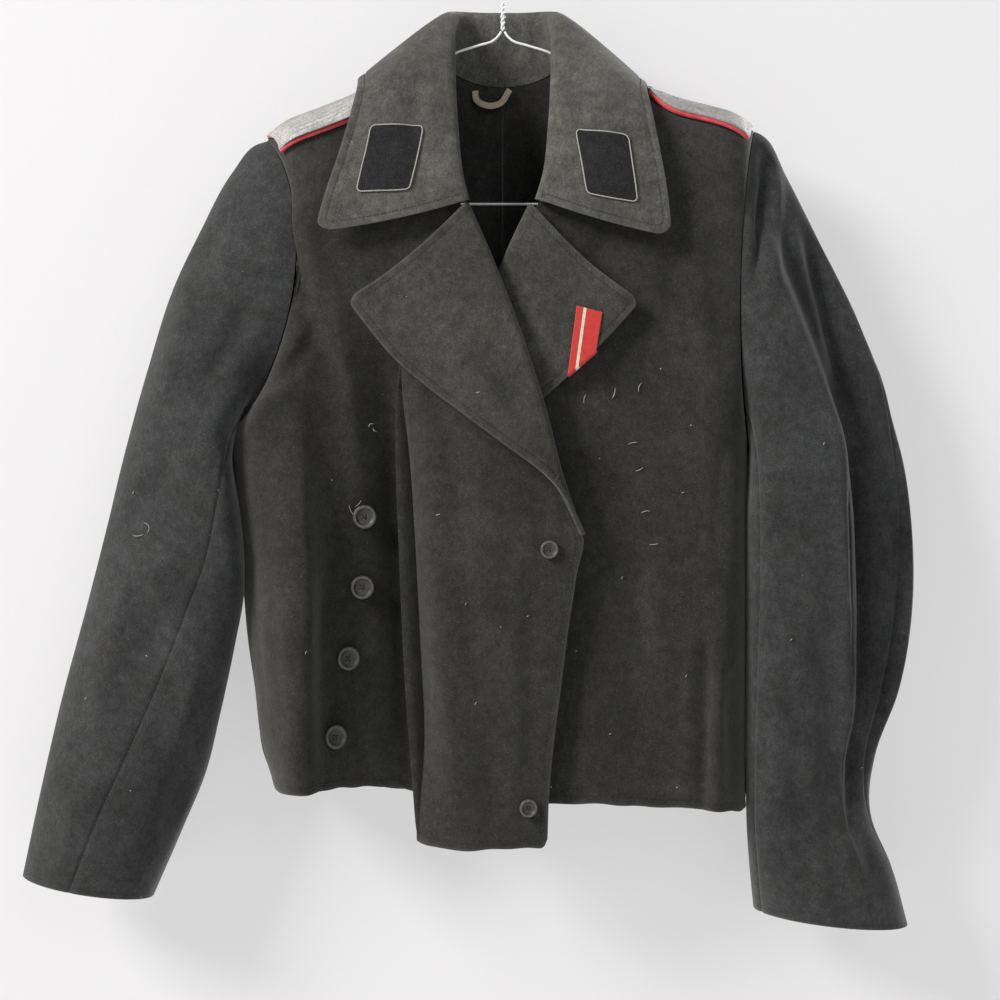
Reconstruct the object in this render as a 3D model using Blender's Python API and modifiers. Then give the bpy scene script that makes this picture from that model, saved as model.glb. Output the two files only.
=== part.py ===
"""Combat tunic of thick wool cloth, open at the neck and lapped across the chest, hung on a wire hanger.

The tunic faces -Y and hangs in the plane y = 0 from the hanger's hook, whose inner top is the origin.
Right and left are the wearer's, so the wearer's right is at -X. Each cut piece of cloth is one sheet:
a grid of points worked out from short tables, given its thickness afterwards.
All tables are in millimetres and degrees; depth is how far a point stands in front of the hanger's plane.
"""
import math

import bpy
import numpy as np
from mathutils import Vector
from mathutils.bvhtree import BVHTree

MM = 0.001

# Driving sizes
CLOTH_WALL = 2.0             # body and sleeve cloth
FACED_WALL = 2.6             # collar and lapels, two layers of cloth
SEAM_GAP = 0.3               # between pieces sewn to each other
ROLL_RADIUS = 3.5            # inner radius where a lapel turns over
RIDGE_DROP = 30.0            # height over which the shoulder rounds from its seam to full depth
WIRE_DIAMETER = 2.1
HOOK_INNER_RADIUS = 20.0
STEM_TOP, STEM_BOTTOM = -52.0, -77.0
ARM_BELOW_SEAM = 5.5         # from the outside of the shoulder seam down to the middle of the wire
TAPE_WALL, TAPE_WIDTH = 1.0, 5.5
PATCH_WALL = 1.2             # collar patches and ribbon
SHARP_ANGLE = 40.0           # degrees above which two faces meet in an edge

RIGHT, LEFT = "right", "left"
SIGN = {RIGHT: -1, LEFT: 1}

# Rows of the body above the underarm: angle around the armhole, 0 at the shoulder and 180 at the underarm
ARM_ANGLES = (0, 6, 16, 28, 42, 56, 70, 85, 100, 115, 130, 145, 160, 172, 180)
# Columns over the rounded side of a panel, as angles of a quarter ellipse
SIDE_ANGLES = (0, 8, 22, 38, 56, 74, 90)

# Armhole: shoulder point and underarm in x and z, depths in front and behind, bows towards the neck
ARMHOLES = {
    RIGHT: dict(shoulder=(-202, -172), underarm=(-230, -417), front=38, back=34, front_bow=44, back_bow=24),
    LEFT: dict(shoulder=(213, -163), underarm=(207, -425), front=38, back=34, front_bow=14, back_bow=14),
}
BOW_POWER = 1.4              # how tightly the bow is drawn to the armhole's middle
# Shoulder seam: distance from the middle, height on the right, height on the left
SHOULDER_SEAM = ((55, -101, -101), (88, -121, -119), (119, -138, -135), (172, -159, -149), (213, -176, -163))

# Side seams below the underarm: height, distance from the middle
SIDE_SEAM = {
    RIGHT: ((-417, 230), (-430, 227), (-476, 223), (-587, 217), (-664, 206), (-702, 201), (-716, 194)),
    LEFT: ((-425, 207), (-436, 205.5), (-560, 205.5), (-733, 205)),
}

# Front edges from the neck point down: height, x, depth
FRONT_EDGE = {
    RIGHT: ((-101, -55, 0), (-101.8, -55, 5), (-107, -56, 13), (-118, -57, 21), (-139, -56, 30),
            (-165, -54, 38), (-203, -47, 46), (-237, -33, 50), (-279, -15, 53),
            (-339, 8, 58), (-404, 29, 61), (-468, 47, 62), (-487, 54, 62),
            (-503, 64.5, 62), (-534, 60, 62), (-580, 53, 62), (-636, 46, 61), (-704, 38, 60), (-758, 36, 58)),
    LEFT: ((-101, 55, 0), (-101.8, 55, 5), (-107, 56, 13), (-118, 57, 21), (-139, 56, 30),
           (-165, 54, 38), (-203, 46, 43), (-237, 26, 44), (-273, 9, 43), (-304, -3, 42),
           (-337, -13, 41), (-378, -26, 40), (-420, -42, 38), (-455, -45, 38), (-724, -45, 38)),
}
# Heights of the front edge's end of each row, one for each armhole angle
EDGE_ROWS = {
    RIGHT: (-101, -101.8, -107, -118, -139, -170, -204, -237, -271, -305, -339, -372, -404, -424, -438),
    LEFT: (-101, -101.8, -107, -118, -139, -170, -204, -237, -273, -304, -337, -370, -400, -420, -436),
}
# Rows below the underarm: height at the side, height at the front edge
LOWER_ROWS = {
    RIGHT: ((-440, -462), (-463, -487), (-482, -503), (-512, -537), (-552, -580), (-593, -624), (-634, -668),
            (-676, -714), (-716, -758)),
    LEFT: ((-445, -454), (-470, -475), (-500, -503), (-540, -541), (-580, -579), (-620, -617), (-660, -655),
           (-698, -691), (-733, -724)),
}

# Sections of the right front: height, then x and depth of each station: bulge, valley, bend, fold, crest.
# The cloth bulges, sinks into a valley, bends back under itself and comes out again as the overlap.
RIGHT_FRONT_SECTIONS = (
    (-340, (-188, 43), (-125, 32), (-74, 34), (-88, 47), (-60, 56)),
    (-420, (-192, 46), (-116, 25), (-64, 29), (-88, 51), (-62, 61)),
    (-500, (-184, 48), (-108, 19), (-60, 26), (-85, 52), (-58, 63)),
    (-600, (-176, 50), (-103, 16), (-56, 26), (-80, 53), (-52, 64)),
    (-720, (-162, 52), (-98, 15), (-48, 26), (-70, 53), (-43, 64)),
)
RIGHT_FRONT_COLUMNS = (4, 5, 4, 3, 5)
# Share of the drop from the side's hem to the lower overlap's hem that each station has taken
RIGHT_FRONT_HEM_SHARE = (0.0, 0.03, 0.45, 0.9, 1.0)

# Sections of the left front: height, then x and depth of its bulge, hollow and breast
LEFT_FRONT_SECTIONS = (
    (-340, (172, 44), (125, 38), (55, 42)),
    (-500, (172, 47), (122, 41), (50, 44)),
    (-730, (172, 50), (138, 43), (70, 47)),
)
LEFT_FRONT_COLUMNS = (3, 3, 4)
LEFT_FRONT_HEM_SHARE = (0.2, 0.5, 0.8)

# Sections of the back: height, then distance from the middle and depth of its blade and waist
BACK_SECTIONS = (
    (-340, (168, 36), (70, 33)),
    (-500, (168, 40), (80, 30)),
    (-730, (164, 44), (90, 31)),
)
BACK_COLUMNS = (3, 3)
BACK_HEM_SHARE = (0.3, 0.8)
PLAIN_DEPTH = {"front": 40, "back": 34}
FIRST_EVEN_SHARE = 0.18      # where the first station stands above the chest, between armhole and edge
PLAIN_ABOVE, FOLDED_BELOW = -290, -415
SAG_DEPTH = 70.0             # how far below the seam the rows keep the shoulder seam's curve
# Back edge, along the neckline and down the centre seam: distance from the middle, depth behind, height
BACK_EDGE = ((55, 0, -101), (54, 5, -101.8), (50, 13, -105), (40, 23, -110), (22, 31, -115), (0, 33, -117),
             (0, 34, -150), (0, 35, -190), (0, 35, -232), (0, 34, -275), (0, 33, -318), (0, 32, -360),
             (0, 32, -395), (0, 32, -415), (0, 32, -428))
BACK_NECK_CORNER = 5         # the row of BACK_EDGE where neckline and centre seam meet
BACK_LOWER_ROWS = ((-445, -452), (-480, -485), (-520, -524), (-562, -565), (-604, -606), (-646, -646),
                   (-688, -687), (None, -728))

# Collar, from the centre back to the front end: share of the neckline, then the roll and the leaf's edge,
# each as distance from the middle, y and height, and how much the right leaf's edge differs in x and height
COLLAR_SECTIONS = (
    (0.00, (0, 24, -57), (0, 52, -134), (0, 0)),
    (0.14, (26, 23, -57), (50, 50, -136), (0, 0)),
    (0.24, (41, 14, -59), (90, 42, -134), (0, 2)),
    (0.31, (45, -3, -66), (113, 8, -125), (1, 3)),
    (0.45, (44, -24, -101), (118, -36, -140), (1, 5)),
    (0.63, (41, -43, -152), (125, -53, -178), (2, 4)),
    (0.82, (38, -53, -203), (132, -56, -215), (9, 0)),
    (1.00, (31, -57, -233), (137, -57, -262), (16, 4)),
)
GORGE_HEIGHT = -237          # row of EDGE_ROWS where the collar ends and the lapel begins
STAND_COLUMNS, LEAF_COLUMNS = 5, 8
ROLL_HANDLE = 9.0            # the longest straight run on either side of the collar's roll
LEAF_BULGE = 7.0
COLLAR_END_BOW = -5.0        # how far the front ends' edges bow upwards
COLLAR_END_SHARE = 0.8       # where the collar ends between the last two rows above the lapel

# Lapels: outer edge as height on the front edge, then x, depth and height of the lapel's own edge
LAPEL_EDGES = {
    RIGHT: ((-237, -128, 54, -312), (-305, -88, 62, -362), (-372, -38, 70, -403), (-424, 12, 73, -440),
            (-462, 38, 73, -462), (-487, 38, 72, -474)),
    LEFT: ((-237, 113, 51, -313), (-304, 72, 51, -357), (-370, 14, 50, -408), (-420, -30, 48, -434)),
}
LAPEL_COLUMNS = 9
LAPEL_TOP_BOW = 4.0
LAPEL_TURN_ANGLES = (0, 35, 70, 105, 140, 180)
LAPEL_HANDLE = 6.0           # straight run after the turn

# Sleeves: outer and inner line in x and z, depths in front and behind, angles of the front and hind seams,
# and the share of the front's depth lost beyond the crease of the front lobe
SLEEVES = {
    RIGHT: (
        (-209, -174, -239, -421, 39, 35, 145, -56, 0),
        (-230, -198, -242, -431, 41, 36, 143, -56, 0),
        (-256, -246, -242, -450, 44, 38, 138, -55, 0),
        (-279, -296, -239, -478, 46, 39, 132, -54, 0),
        (-301, -366, -232, -512, 46, 40, 125, -52, 0),
        (-321, -438, -227, -553, 45, 40, 119, -50, 0),
        (-336, -500, -229, -597, 43, 40, 112, -48, 0),
        (-354, -570, -239, -657, 41, 39, 104, -46, 0),
        (-373, -640, -252, -707, 39, 37, 96, -44, 0),
        (-392, -722, -273, -757, 37, 35, 88, -42, 0),
        (-407, -793, -297, -812, 35, 33, 82, -40, 0),
    ),
    LEFT: (
        (220, -166, 209, -428, 40, 35, 145, -56, 0.05),
        (240, -200, 210.5, -440, 42, 38, 145, -50, 0.15),
        (262, -243, 210.5, -458, 44, 42, 146, -40, 0.30),
        (291, -300, 209.5, -482, 45, 45, 148, -20, 0.45),
        (318, -362, 208.5, -512, 46, 47, 150, 5, 0.60),
        (336, -428, 208.5, -547, 46, 48, 152, 22, 0.68),
        (346, -502, 208.5, -587, 46, 48, 154, 30, 0.70),
        (346, -572, 208.5, -627, 45, 46, 155, 38, 0.66),
        (335, -636, 208.5, -667, 44, 42, 156, 42, 0.55),
        (315, -692, 209, -707, 42, 38, 157, 35, 0.30),
        (312, -742, 210, -750, 41, 36, 158, 20, 0.10),
        (330, -787, 211, -788, 41, 36, 159, 8, 0.0),
        (343, -835, 213, -822, 41, 36, 160, 0, 0.0),
    ),
}
# Angle of the crease of the front lobe in each row of the left sleeve
LOBE_CREASE = (70, 70, 72, 74, 74, 75, 78, 77, 72, 64, 60, 62, 66)
CREASE_ANGLE = 70            # the column of ARM_ANGLES that follows the crease
FRONT_SEAM_ANGLE, HIND_SEAM_ANGLE = 145, -56
CREASE_STEP = 9.0            # degrees over which the lobe falls away at its crease
SLEEVE_START_GAP = 0.6
BOW_ROWS = 4                 # rows of a sleeve over which the armhole's bow fades

# Shoulder straps: distances from the middle of the inner end and of the armhole end, how far the strap
# reaches down the front and down the back, as angles around the shoulder's ridge, and how much nearer
# to each other its two ends are at the front, where they follow the armhole and the collar
STRAPS = {
    RIGHT: dict(inner=108, outer=200, front=80, back=3, inner_slant=14, outer_slant=16, round_end=False),
    LEFT: dict(inner=119, outer=211, front=68, back=16, inner_slant=4, outer_slant=8, round_end=True),
}
STRAP_SHARES = (0, 0.03, 0.1, 0.2, 0.4, 0.6, 0.8, 1.0)
STRAP_COLUMNS = 7
STRAP_BEARING = (-6, -3, 0, 3, 6)  # the strap lies on the highest of the cloth this far to either side
ROUND_END_WIDTH = 0.25       # width of the round end's tip as a share of the strap
UNDERLAY_WALL, BRAID_WALL, PIPING_WIDTH = 1.6, 2.4, 3.0
STRAP_LIFT = 2.2
RAY_START = 400.0            # how far outside the cloth the line starts that finds a point of it

# Buttons: name, x, height and diameter
BUTTONS = (
    ("button_1", -116, -490, 20), ("button_2", -118, -549, 20), ("button_3", -130, -608, 20),
    ("button_4", -140, -672, 20), ("button_top", 37, -516, 15), ("button_hem", 20, -725, 15),
)
BUTTON_LIFT = 1.6
BUTTON_STEPS = 14            # sides of a turned button
MERGE_WITHIN = 0.00001       # metres
# Collar patches and ribbon: corners in x and z, from the upper inner corner round to the lower inner one
PATCHES = {RIGHT: ((-64, -173), (-106, -173), (-119, -225), (-77, -224)),
           LEFT: ((60, -173), (102, -180), (109, -233), (67, -228))}
RIBBON = ((58, -317), (82, -329), (80, -345), (53, -370))


# ---------------------------------------------------------------------------------------------------
# Curves and sheets
# ---------------------------------------------------------------------------------------------------

def smooth(knots, values, at):
    """Cubic Hermite curve through values at knots, each slope a mean of its neighbours' slopes."""
    knots = np.asarray(knots, float)
    values = np.asarray(values, float).reshape(len(knots), -1)
    at = np.atleast_1d(np.asarray(at, float))
    steps = np.diff(knots)[:, None]
    slopes = np.diff(values, axis=0) / steps
    inner = (slopes[:-1] * steps[1:] + slopes[1:] * steps[:-1]) / (steps[:-1] + steps[1:])
    tangents = np.vstack([slopes[:1], inner, slopes[-1:]])
    span = np.clip(np.searchsorted(knots, at, side="right") - 1, 0, len(knots) - 2)
    width = steps[span]
    t = ((at - knots[span])[:, None] / width).clip(0, 1)
    return ((1 + 2 * t) * (1 - t) ** 2 * values[span] + t * (1 - t) ** 2 * width * tangents[span]
            + t * t * (3 - 2 * t) * values[span + 1] - t * t * (1 - t) * width * tangents[span + 1])


def through(points, counts):
    """Points along a smooth curve through the given points, with counts[i] steps in span i."""
    points = np.asarray(points, float)
    knots = np.concatenate([[0], np.cumsum(np.linalg.norm(np.diff(points, axis=0), axis=1))])
    at = [knots[0]]
    for start, end, count in zip(knots[:-1], knots[1:], counts):
        at.extend(start + (end - start) * (i + 1) / count for i in range(count))
    return smooth(knots, points, at)


def by_height(table, height):
    """Row of a table, whose first column is the height going down, at one height."""
    rows = np.array([np.hstack([np.ravel(cell) for cell in row]) for row in table], float)
    return smooth(-rows[:, 0], rows[:, 1:], -height)[0]


def bezier(p0, p1, p2, p3, count):
    """count + 1 points of a cubic Bezier curve."""
    t = np.linspace(0, 1, count + 1)[:, None]
    return (1 - t) ** 3 * p0 + 3 * t * (1 - t) ** 2 * p1 + 3 * t * t * (1 - t) * p2 + t ** 3 * p3


def unit(vector):
    return vector / np.linalg.norm(vector)


def grid_faces(rows, columns):
    return [(i * columns + j, i * columns + j + 1, (i + 1) * columns + j + 1, (i + 1) * columns + j)
            for i in range(rows - 1) for j in range(columns - 1)]


def make_material(name, colour, roughness):
    material = bpy.data.materials.new(name)
    material.use_nodes = True
    material.diffuse_color = (*colour, 1)
    surface = material.node_tree.nodes["Principled BSDF"]
    surface.inputs["Base Color"].default_value = (*colour, 1)
    surface.inputs["Roughness"].default_value = roughness
    return material


def add_object(name, mesh, material):
    piece = bpy.data.objects.new(name, mesh)
    mesh.materials.append(material)
    tunic.objects.link(piece)
    return piece


def add_sheet(name, grid, wall, material, outward):
    """A thick sheet: the grid is one face of the cloth, and the wall lies on its outward side."""
    rows, columns = grid.shape[:2]
    mesh = bpy.data.meshes.new(name)
    mesh.from_pydata((grid.reshape(-1, 3) * MM).tolist(), [], grid_faces(rows, columns))
    mesh.shade_smooth()
    middle = mesh.polygons[len(mesh.polygons) // 2]
    if Vector(outward).dot(middle.normal) < 0:
        mesh.flip_normals()
    piece = add_object(name, mesh, material)
    solidify = piece.modifiers.new("cloth", "SOLIDIFY")
    solidify.thickness = wall * MM
    solidify.offset = 1
    return piece


def surface_normals(grid, closed=False):
    """Unit normals of a grid of points, all on one side; in a closed grid the last column meets the first."""
    if closed:
        along = np.roll(grid, -1, axis=1) - np.roll(grid, 1, axis=1)
    else:
        along = np.gradient(grid, axis=1)
    normals = np.cross(along, np.gradient(grid, axis=0))
    return normals / np.linalg.norm(normals, axis=2)[..., None]


def signed_volume(points, faces):
    """Six times the volume that the faces enclose, negative if they face inwards."""
    return sum(np.dot(points[face[0]], np.cross(points[b], points[c]))
               for face in faces for b, c in zip(face[1:-1], face[2:]))


def add_wall(name, outer, inner, material):
    """A closed solid between the outer and the inner face of a cut piece, with its four rims.

    Each rim's diagonals join the outer face to the later point of the inner one, so the rims of two pieces
    that meet at a seam stay parallel.
    """
    rows, columns = outer.shape[:2]
    count = rows * columns
    faces = grid_faces(rows, columns)
    solid = faces + [tuple(i + count for i in reversed(face)) for face in faces]
    top = list(range(columns))
    end = [i * columns + columns - 1 for i in range(rows)]
    bottom = [(rows - 1) * columns + j for j in reversed(range(columns))]
    start = [i * columns for i in reversed(range(rows))]
    border = top[:-1] + end[:-1] + bottom[:-1] + start
    for a, b in zip(border[:-1], border[1:]):
        if a < b:
            solid += [(a, a + count, b + count), (a, b + count, b)]
        else:
            solid += [(a, a + count, b), (a + count, b + count, b)]
    points = np.vstack([outer.reshape(-1, 3), inner.reshape(-1, 3)])
    mesh = bpy.data.meshes.new(name)
    mesh.from_pydata((points * MM).tolist(), [], solid)
    if signed_volume(points, solid) < 0:
        mesh.flip_normals()
    mesh.shade_smooth()
    mesh.set_sharp_from_angle(angle=math.radians(SHARP_ANGLE))
    return add_object(name, mesh, material)


# ---------------------------------------------------------------------------------------------------
# Body panels
# ---------------------------------------------------------------------------------------------------

def armhole_point(side, angle, back=False):
    """Point of the armhole seam: an oval from the shoulder point to the underarm, bowed towards the neck."""
    hole = ARMHOLES[side]
    down = (1 - math.cos(math.radians(angle))) / 2
    across = math.sin(math.radians(angle))
    (x0, z0), (x1, z1) = hole["shoulder"], hole["underarm"]
    bow = hole["back_bow" if back else "front_bow"] * across ** BOW_POWER
    depth = hole["back"] if back else -hole["front"]
    return np.array([x0 + (x1 - x0) * down - SIGN[side] * bow, depth * across, z0 + (z1 - z0) * down])


def shoulder_height(side, x):
    """Height of the shoulder seam above a point."""
    column = 1 if side == RIGHT else 2
    table = np.array(SHOULDER_SEAM, float)
    distance = min(max(SIGN[side] * x, table[0, 0]), table[-1, 0])
    return smooth(table[:, 0], table[:, column], distance)[0, 0]


def ridge(side, x, z):
    """How far the shoulder has rounded to its full depth: 0 at the seam, 1 from RIDGE_DROP below it."""
    drop = min(max((shoulder_height(side, x) - z) / RIDGE_DROP, 0), 1)
    return math.sqrt(1 - (1 - drop) ** 2)


def panel_row(side, start, end, stations, shares, columns, plain_depth, front):
    """One row of a panel: a quarter ellipse round the side, then a smooth line through the stations.

    Above the chest the stations stand evenly between the armhole and the edge, at the plain depth. They
    move to the places of the section table over the height where the folds begin.
    """
    facing = -1 if front else 1
    folded = min(max((PLAIN_ABOVE - start[2]) / (PLAIN_ABOVE - FOLDED_BELOW), 0), 1)
    folded = folded * folded * (3 - 2 * folded)
    shoulder_x, shoulder_z = ARMHOLES[side]["shoulder"]
    near_shoulder = max(1 - (shoulder_z - start[2]) / SAG_DEPTH, 0)
    points = []
    for i, (x, depth) in enumerate(stations):
        even = FIRST_EVEN_SHARE + (1 - FIRST_EVEN_SHARE) * i / len(stations)
        place = (1 - folded) * (start[0] + (end[0] - start[0]) * even) + folded * x
        share = (1 - folded) * even + folded * shares[i]
        z = start[2] + (end[2] - start[2]) * share
        if near_shoulder > 0 and SIGN[side] * place > SHOULDER_SEAM[0][0]:
            straight = (SIGN[side] * place - SHOULDER_SEAM[0][0]) / (abs(shoulder_x) - SHOULDER_SEAM[0][0])
            seam = SHOULDER_SEAM[0][1] + (shoulder_z - SHOULDER_SEAM[0][1]) * straight
            z += near_shoulder * (shoulder_height(side, place) - seam)
        deep = (1 - folded) * ((1 - even) * plain_depth + even * max(plain_depth, abs(end[1]))) + folded * depth
        points.append([place, facing * deep * ridge(side, place, z), z])
    points = np.array(points)
    first = []
    for angle in SIDE_ANGLES[:-1]:
        along, out = 1 - math.cos(math.radians(angle)), math.sin(math.radians(angle))
        first.append(start + (points[0] - start) * np.array([along, out, along]))
    rest = through(np.vstack([points, end]), columns)
    return np.vstack([first, rest])


def front_panel(side):
    """Grid of a front: rows from the shoulder seam to the hem, columns from armhole and side to the edge."""
    sections = RIGHT_FRONT_SECTIONS if side == RIGHT else LEFT_FRONT_SECTIONS
    shares = RIGHT_FRONT_HEM_SHARE if side == RIGHT else LEFT_FRONT_HEM_SHARE
    columns = RIGHT_FRONT_COLUMNS if side == RIGHT else LEFT_FRONT_COLUMNS
    starts = [armhole_point(side, angle) for angle in ARM_ANGLES]
    edge_heights = list(EDGE_ROWS[side])
    for side_height, edge_height in LOWER_ROWS[side]:
        starts.append(np.array([SIGN[side] * by_height(SIDE_SEAM[side], side_height)[0], 0, side_height]))
        edge_heights.append(edge_height)
    rows = []
    for start, edge_height in zip(starts, edge_heights):
        edge_x, edge_depth = by_height(FRONT_EDGE[side], edge_height)
        end = np.array([edge_x, -edge_depth, edge_height])
        stations = by_height(sections, start[2]).reshape(-1, 2)
        row = panel_row(side, start, end, stations, shares, columns, PLAIN_DEPTH["front"], True)
        rows.append(row)
    return np.array(rows)


def back_panel(side):
    """Grid of one half of the back, from the armhole and side to the neckline and the centre seam."""
    starts = [armhole_point(side, angle, back=True) for angle in ARM_ANGLES]
    ends = [np.array([SIGN[side] * max(x, SEAM_GAP / 2), y, z]) for x, y, z in BACK_EDGE]
    hem = LOWER_ROWS[side][-1][0]
    for side_height, edge_height in BACK_LOWER_ROWS:
        height = hem if side_height is None else side_height
        starts.append(np.array([SIGN[side] * by_height(SIDE_SEAM[side], height)[0], 0, height]))
        ends.append(np.array([SIGN[side] * SEAM_GAP / 2, BACK_EDGE[-1][1], edge_height]))
    rows = []
    for start, end in zip(starts, ends):
        stations = by_height(BACK_SECTIONS, start[2]).reshape(-1, 2) * np.array([SIGN[side], 1])
        rows.append(panel_row(side, start, end, stations, BACK_HEM_SHARE, BACK_COLUMNS,
                              PLAIN_DEPTH["back"], False))
    return np.array(rows)


def panel_faces(panel, facing):
    """Outer and inner face of a panel, whose rims along the shoulder and the side seam lie in one plane."""
    below_arm = slice(len(ARM_ANGLES) - 1, None)
    normals = surface_normals(panel)
    if normals[6, 8, 1] * facing > 0:
        normals = -normals
    normals[0, :, 1] = 0
    normals[below_arm, 0, 1] = 0
    normals /= np.linalg.norm(normals, axis=2)[..., None]
    faces = [panel.copy(), panel + normals * CLOTH_WALL]
    for face in faces:
        face[0, :, 1] = facing * SEAM_GAP / 2
        face[below_arm, 0, 1] = facing * SEAM_GAP / 2
    return faces


# ---------------------------------------------------------------------------------------------------
# Collar and lapels
# ---------------------------------------------------------------------------------------------------

def collar_grid(fronts, backs):
    """Sections across the collar: up the stand from the neckline, over the roll and down the leaf."""
    gorge = {side: EDGE_ROWS[side].index(GORGE_HEIGHT) for side in (RIGHT, LEFT)}
    halves = {}
    for side in (RIGHT, LEFT):
        back = backs[side][1:BACK_NECK_CORNER + 1, -1][::-1]
        front = fronts[side][:gorge[side] + 1, -1].copy()
        front[-1] = front[-2] + (front[-1] - front[-2]) * COLLAR_END_SHARE
        halves[side] = np.vstack([back, front])
    rows = []
    for side, order in ((RIGHT, -1), (LEFT, 1)):
        neckline = halves[side]
        lengths = np.concatenate([[0], np.cumsum(np.linalg.norm(np.diff(neckline, axis=0), axis=1))])
        table = np.array([np.hstack([np.ravel(cell) for cell in row]) for row in COLLAR_SECTIONS], float)
        places = smooth(table[:, 0], table[:, 1:], lengths / lengths[-1])
        half = []
        for share, neck, place in zip(lengths / lengths[-1], neckline, places):
            roll, edge, reach = place[0:3].copy(), place[3:6].copy(), place[6:8]
            if side == RIGHT:
                edge[0] += reach[0]
                edge[2] += reach[1]
            roll[0] *= SIGN[side]
            edge[0] *= SIGN[side]
            half.append(collar_section(neck, roll, edge, share))
        rows.extend(half[::order] if side == RIGHT else half[1:])
    return np.array(rows)


def collar_section(neck, roll, edge, share):
    """One section: two Bezier curves that meet at the roll with the same direction."""
    up = unit(roll - neck)
    over = (edge - roll) - up * np.dot(edge - roll, up)
    over = unit(over)
    handle = min(ROLL_HANDLE, 0.45 * np.linalg.norm(roll - neck))
    start = neck + up * 2 * SEAM_GAP
    stand = bezier(start, start + (roll - start) * 0.5, roll - over * handle, roll, STAND_COLUMNS)
    outward = unit(np.cross(np.cross(over, up), edge - roll))
    middle = (roll + edge) / 2 + outward * LEAF_BULGE
    bow = np.array([0, 0, COLLAR_END_BOW * share ** 4])
    leaf = bezier(roll, roll + over * handle, middle + bow, edge, LEAF_COLUMNS)
    return np.vstack([stand, leaf[1:]])


def lapel_grid(side, front):
    """Sections across a lapel: it turns over at the front's edge and lies on the front, out to its own edge."""
    edges = LAPEL_EDGES[side]
    rows = []
    for start in front[:, -1]:
        if not edges[-1][0] - 0.5 <= start[2] <= edges[0][0] + 0.5:
            continue
        x, depth, z = by_height(edges, start[2])
        edge = np.array([x, -depth, z])
        away = unit(np.array([start[0] - edge[0], 0, start[2] - edge[2]]))
        centre = start + away * SEAM_GAP + np.array([0, -ROLL_RADIUS, 0])
        turn = [centre + ROLL_RADIUS * (math.sin(a) * away + math.cos(a) * np.array([0, 1, 0]))
                for a in np.radians(LAPEL_TURN_ANGLES)]
        down = (edges[0][0] - start[2]) / (edges[0][0] - edges[-1][0])
        bow = np.array([0, 0, LAPEL_TOP_BOW * (1 - down) ** 3])
        flat = turn[-1] - away * LAPEL_HANDLE
        leaf = bezier(turn[-1], flat, (turn[-1] + edge) / 2 + bow, edge, LAPEL_COLUMNS)
        rows.append(np.vstack([turn, leaf[1:]]))
    return np.array(rows)


# ---------------------------------------------------------------------------------------------------
# Sleeves
# ---------------------------------------------------------------------------------------------------

def sleeve_point(side, row, angle, crease_angle, loss):
    """Point of a sleeve's section: an oval from the outer to the inner line, with the lobe's step in depth."""
    outer_x, outer_z, inner_x, inner_z, front, back = row[:6]
    down = (1 - math.cos(math.radians(angle))) / 2
    across = math.sin(math.radians(angle))
    depth = -front * across if across > 0 else -back * across
    if across > 0 and loss > 0:
        beyond = min(max((crease_angle - angle) / CREASE_STEP, 0), 1)
        depth *= 1 - loss * beyond * beyond * (3 - 2 * beyond)
    return np.array([outer_x + (inner_x - outer_x) * down, depth, outer_z + (inner_z - outer_z) * down])


def sleeve_rows(side):
    """Whole tube of a sleeve: for each row, a dictionary from the armhole's angle to its point."""
    front_angles = list(ARM_ANGLES)
    back_angles = [-angle for angle in ARM_ANGLES[1:-1]]
    hole = ARMHOLES[side]
    rows = []
    start = {}
    for angle in front_angles:
        start[angle] = armhole_point(side, angle)
    for angle in back_angles:
        start[angle] = armhole_point(side, -angle, back=True)
    for angle in start:
        low = math.sin(math.radians(max(abs(angle) - 90, 0)))
        start[angle] = start[angle] + SLEEVE_START_GAP * np.array([SIGN[side] * (1 + 2 * low), 0, -low])
    rows.append(start)
    table = SLEEVES[side]
    for index, row in enumerate(table):
        crease = LOBE_CREASE[index] if side == LEFT else CREASE_ANGLE
        known = (HIND_SEAM_ANGLE, CREASE_ANGLE, FRONT_SEAM_ANGLE, HIND_SEAM_ANGLE + 360)
        moved = (row[7], crease, row[6], row[7] + 360)
        fade = max(1 - index / BOW_ROWS, 0) ** 2
        ring = {}
        for angle in front_angles + back_angles:
            turned = angle if angle >= HIND_SEAM_ANGLE else angle + 360
            warped = np.interp(turned, known, moved)
            point = sleeve_point(side, row, warped, crease, row[8])
            bow = hole["front_bow"] if math.sin(math.radians(warped)) > 0 else hole["back_bow"]
            bow *= abs(math.sin(math.radians(warped))) ** BOW_POWER * fade
            point[0] -= SIGN[side] * bow
            ring[angle] = point
        rows.append(ring)
    return rows


def sleeve_faces(side):
    """Outer and inner faces of the top and the under sleeve: one tube, thickened, then cut along its seams."""
    rows = sleeve_rows(side)
    angles = sorted(rows[0])
    tube = np.array([[ring[angle] for angle in angles] for ring in rows])
    normals = surface_normals(tube, closed=True)
    axis = tube.mean(axis=1)[:, None]
    if ((axis - tube) * normals).sum() < 0:
        normals = -normals
    inner = tube + normals * CLOTH_WALL
    hind, front = angles.index(HIND_SEAM_ANGLE), angles.index(FRONT_SEAM_ANGLE)
    top = list(range(hind, front + 1))
    under = list(range(front, len(angles))) + list(range(hind + 1))
    pieces = []
    for columns in (top, under):
        piece = []
        for face in (tube, inner):
            face = face[:, columns].copy()
            for column, neighbour in ((0, 1), (-1, -2)):
                away = face[:, neighbour] - face[:, column]
                face[:, column] += away / np.linalg.norm(away, axis=1)[:, None] * SEAM_GAP / 2
            piece.append(face)
        pieces.append(piece)
    return pieces


# ---------------------------------------------------------------------------------------------------
# Pieces laid on the cloth
# ---------------------------------------------------------------------------------------------------

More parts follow.
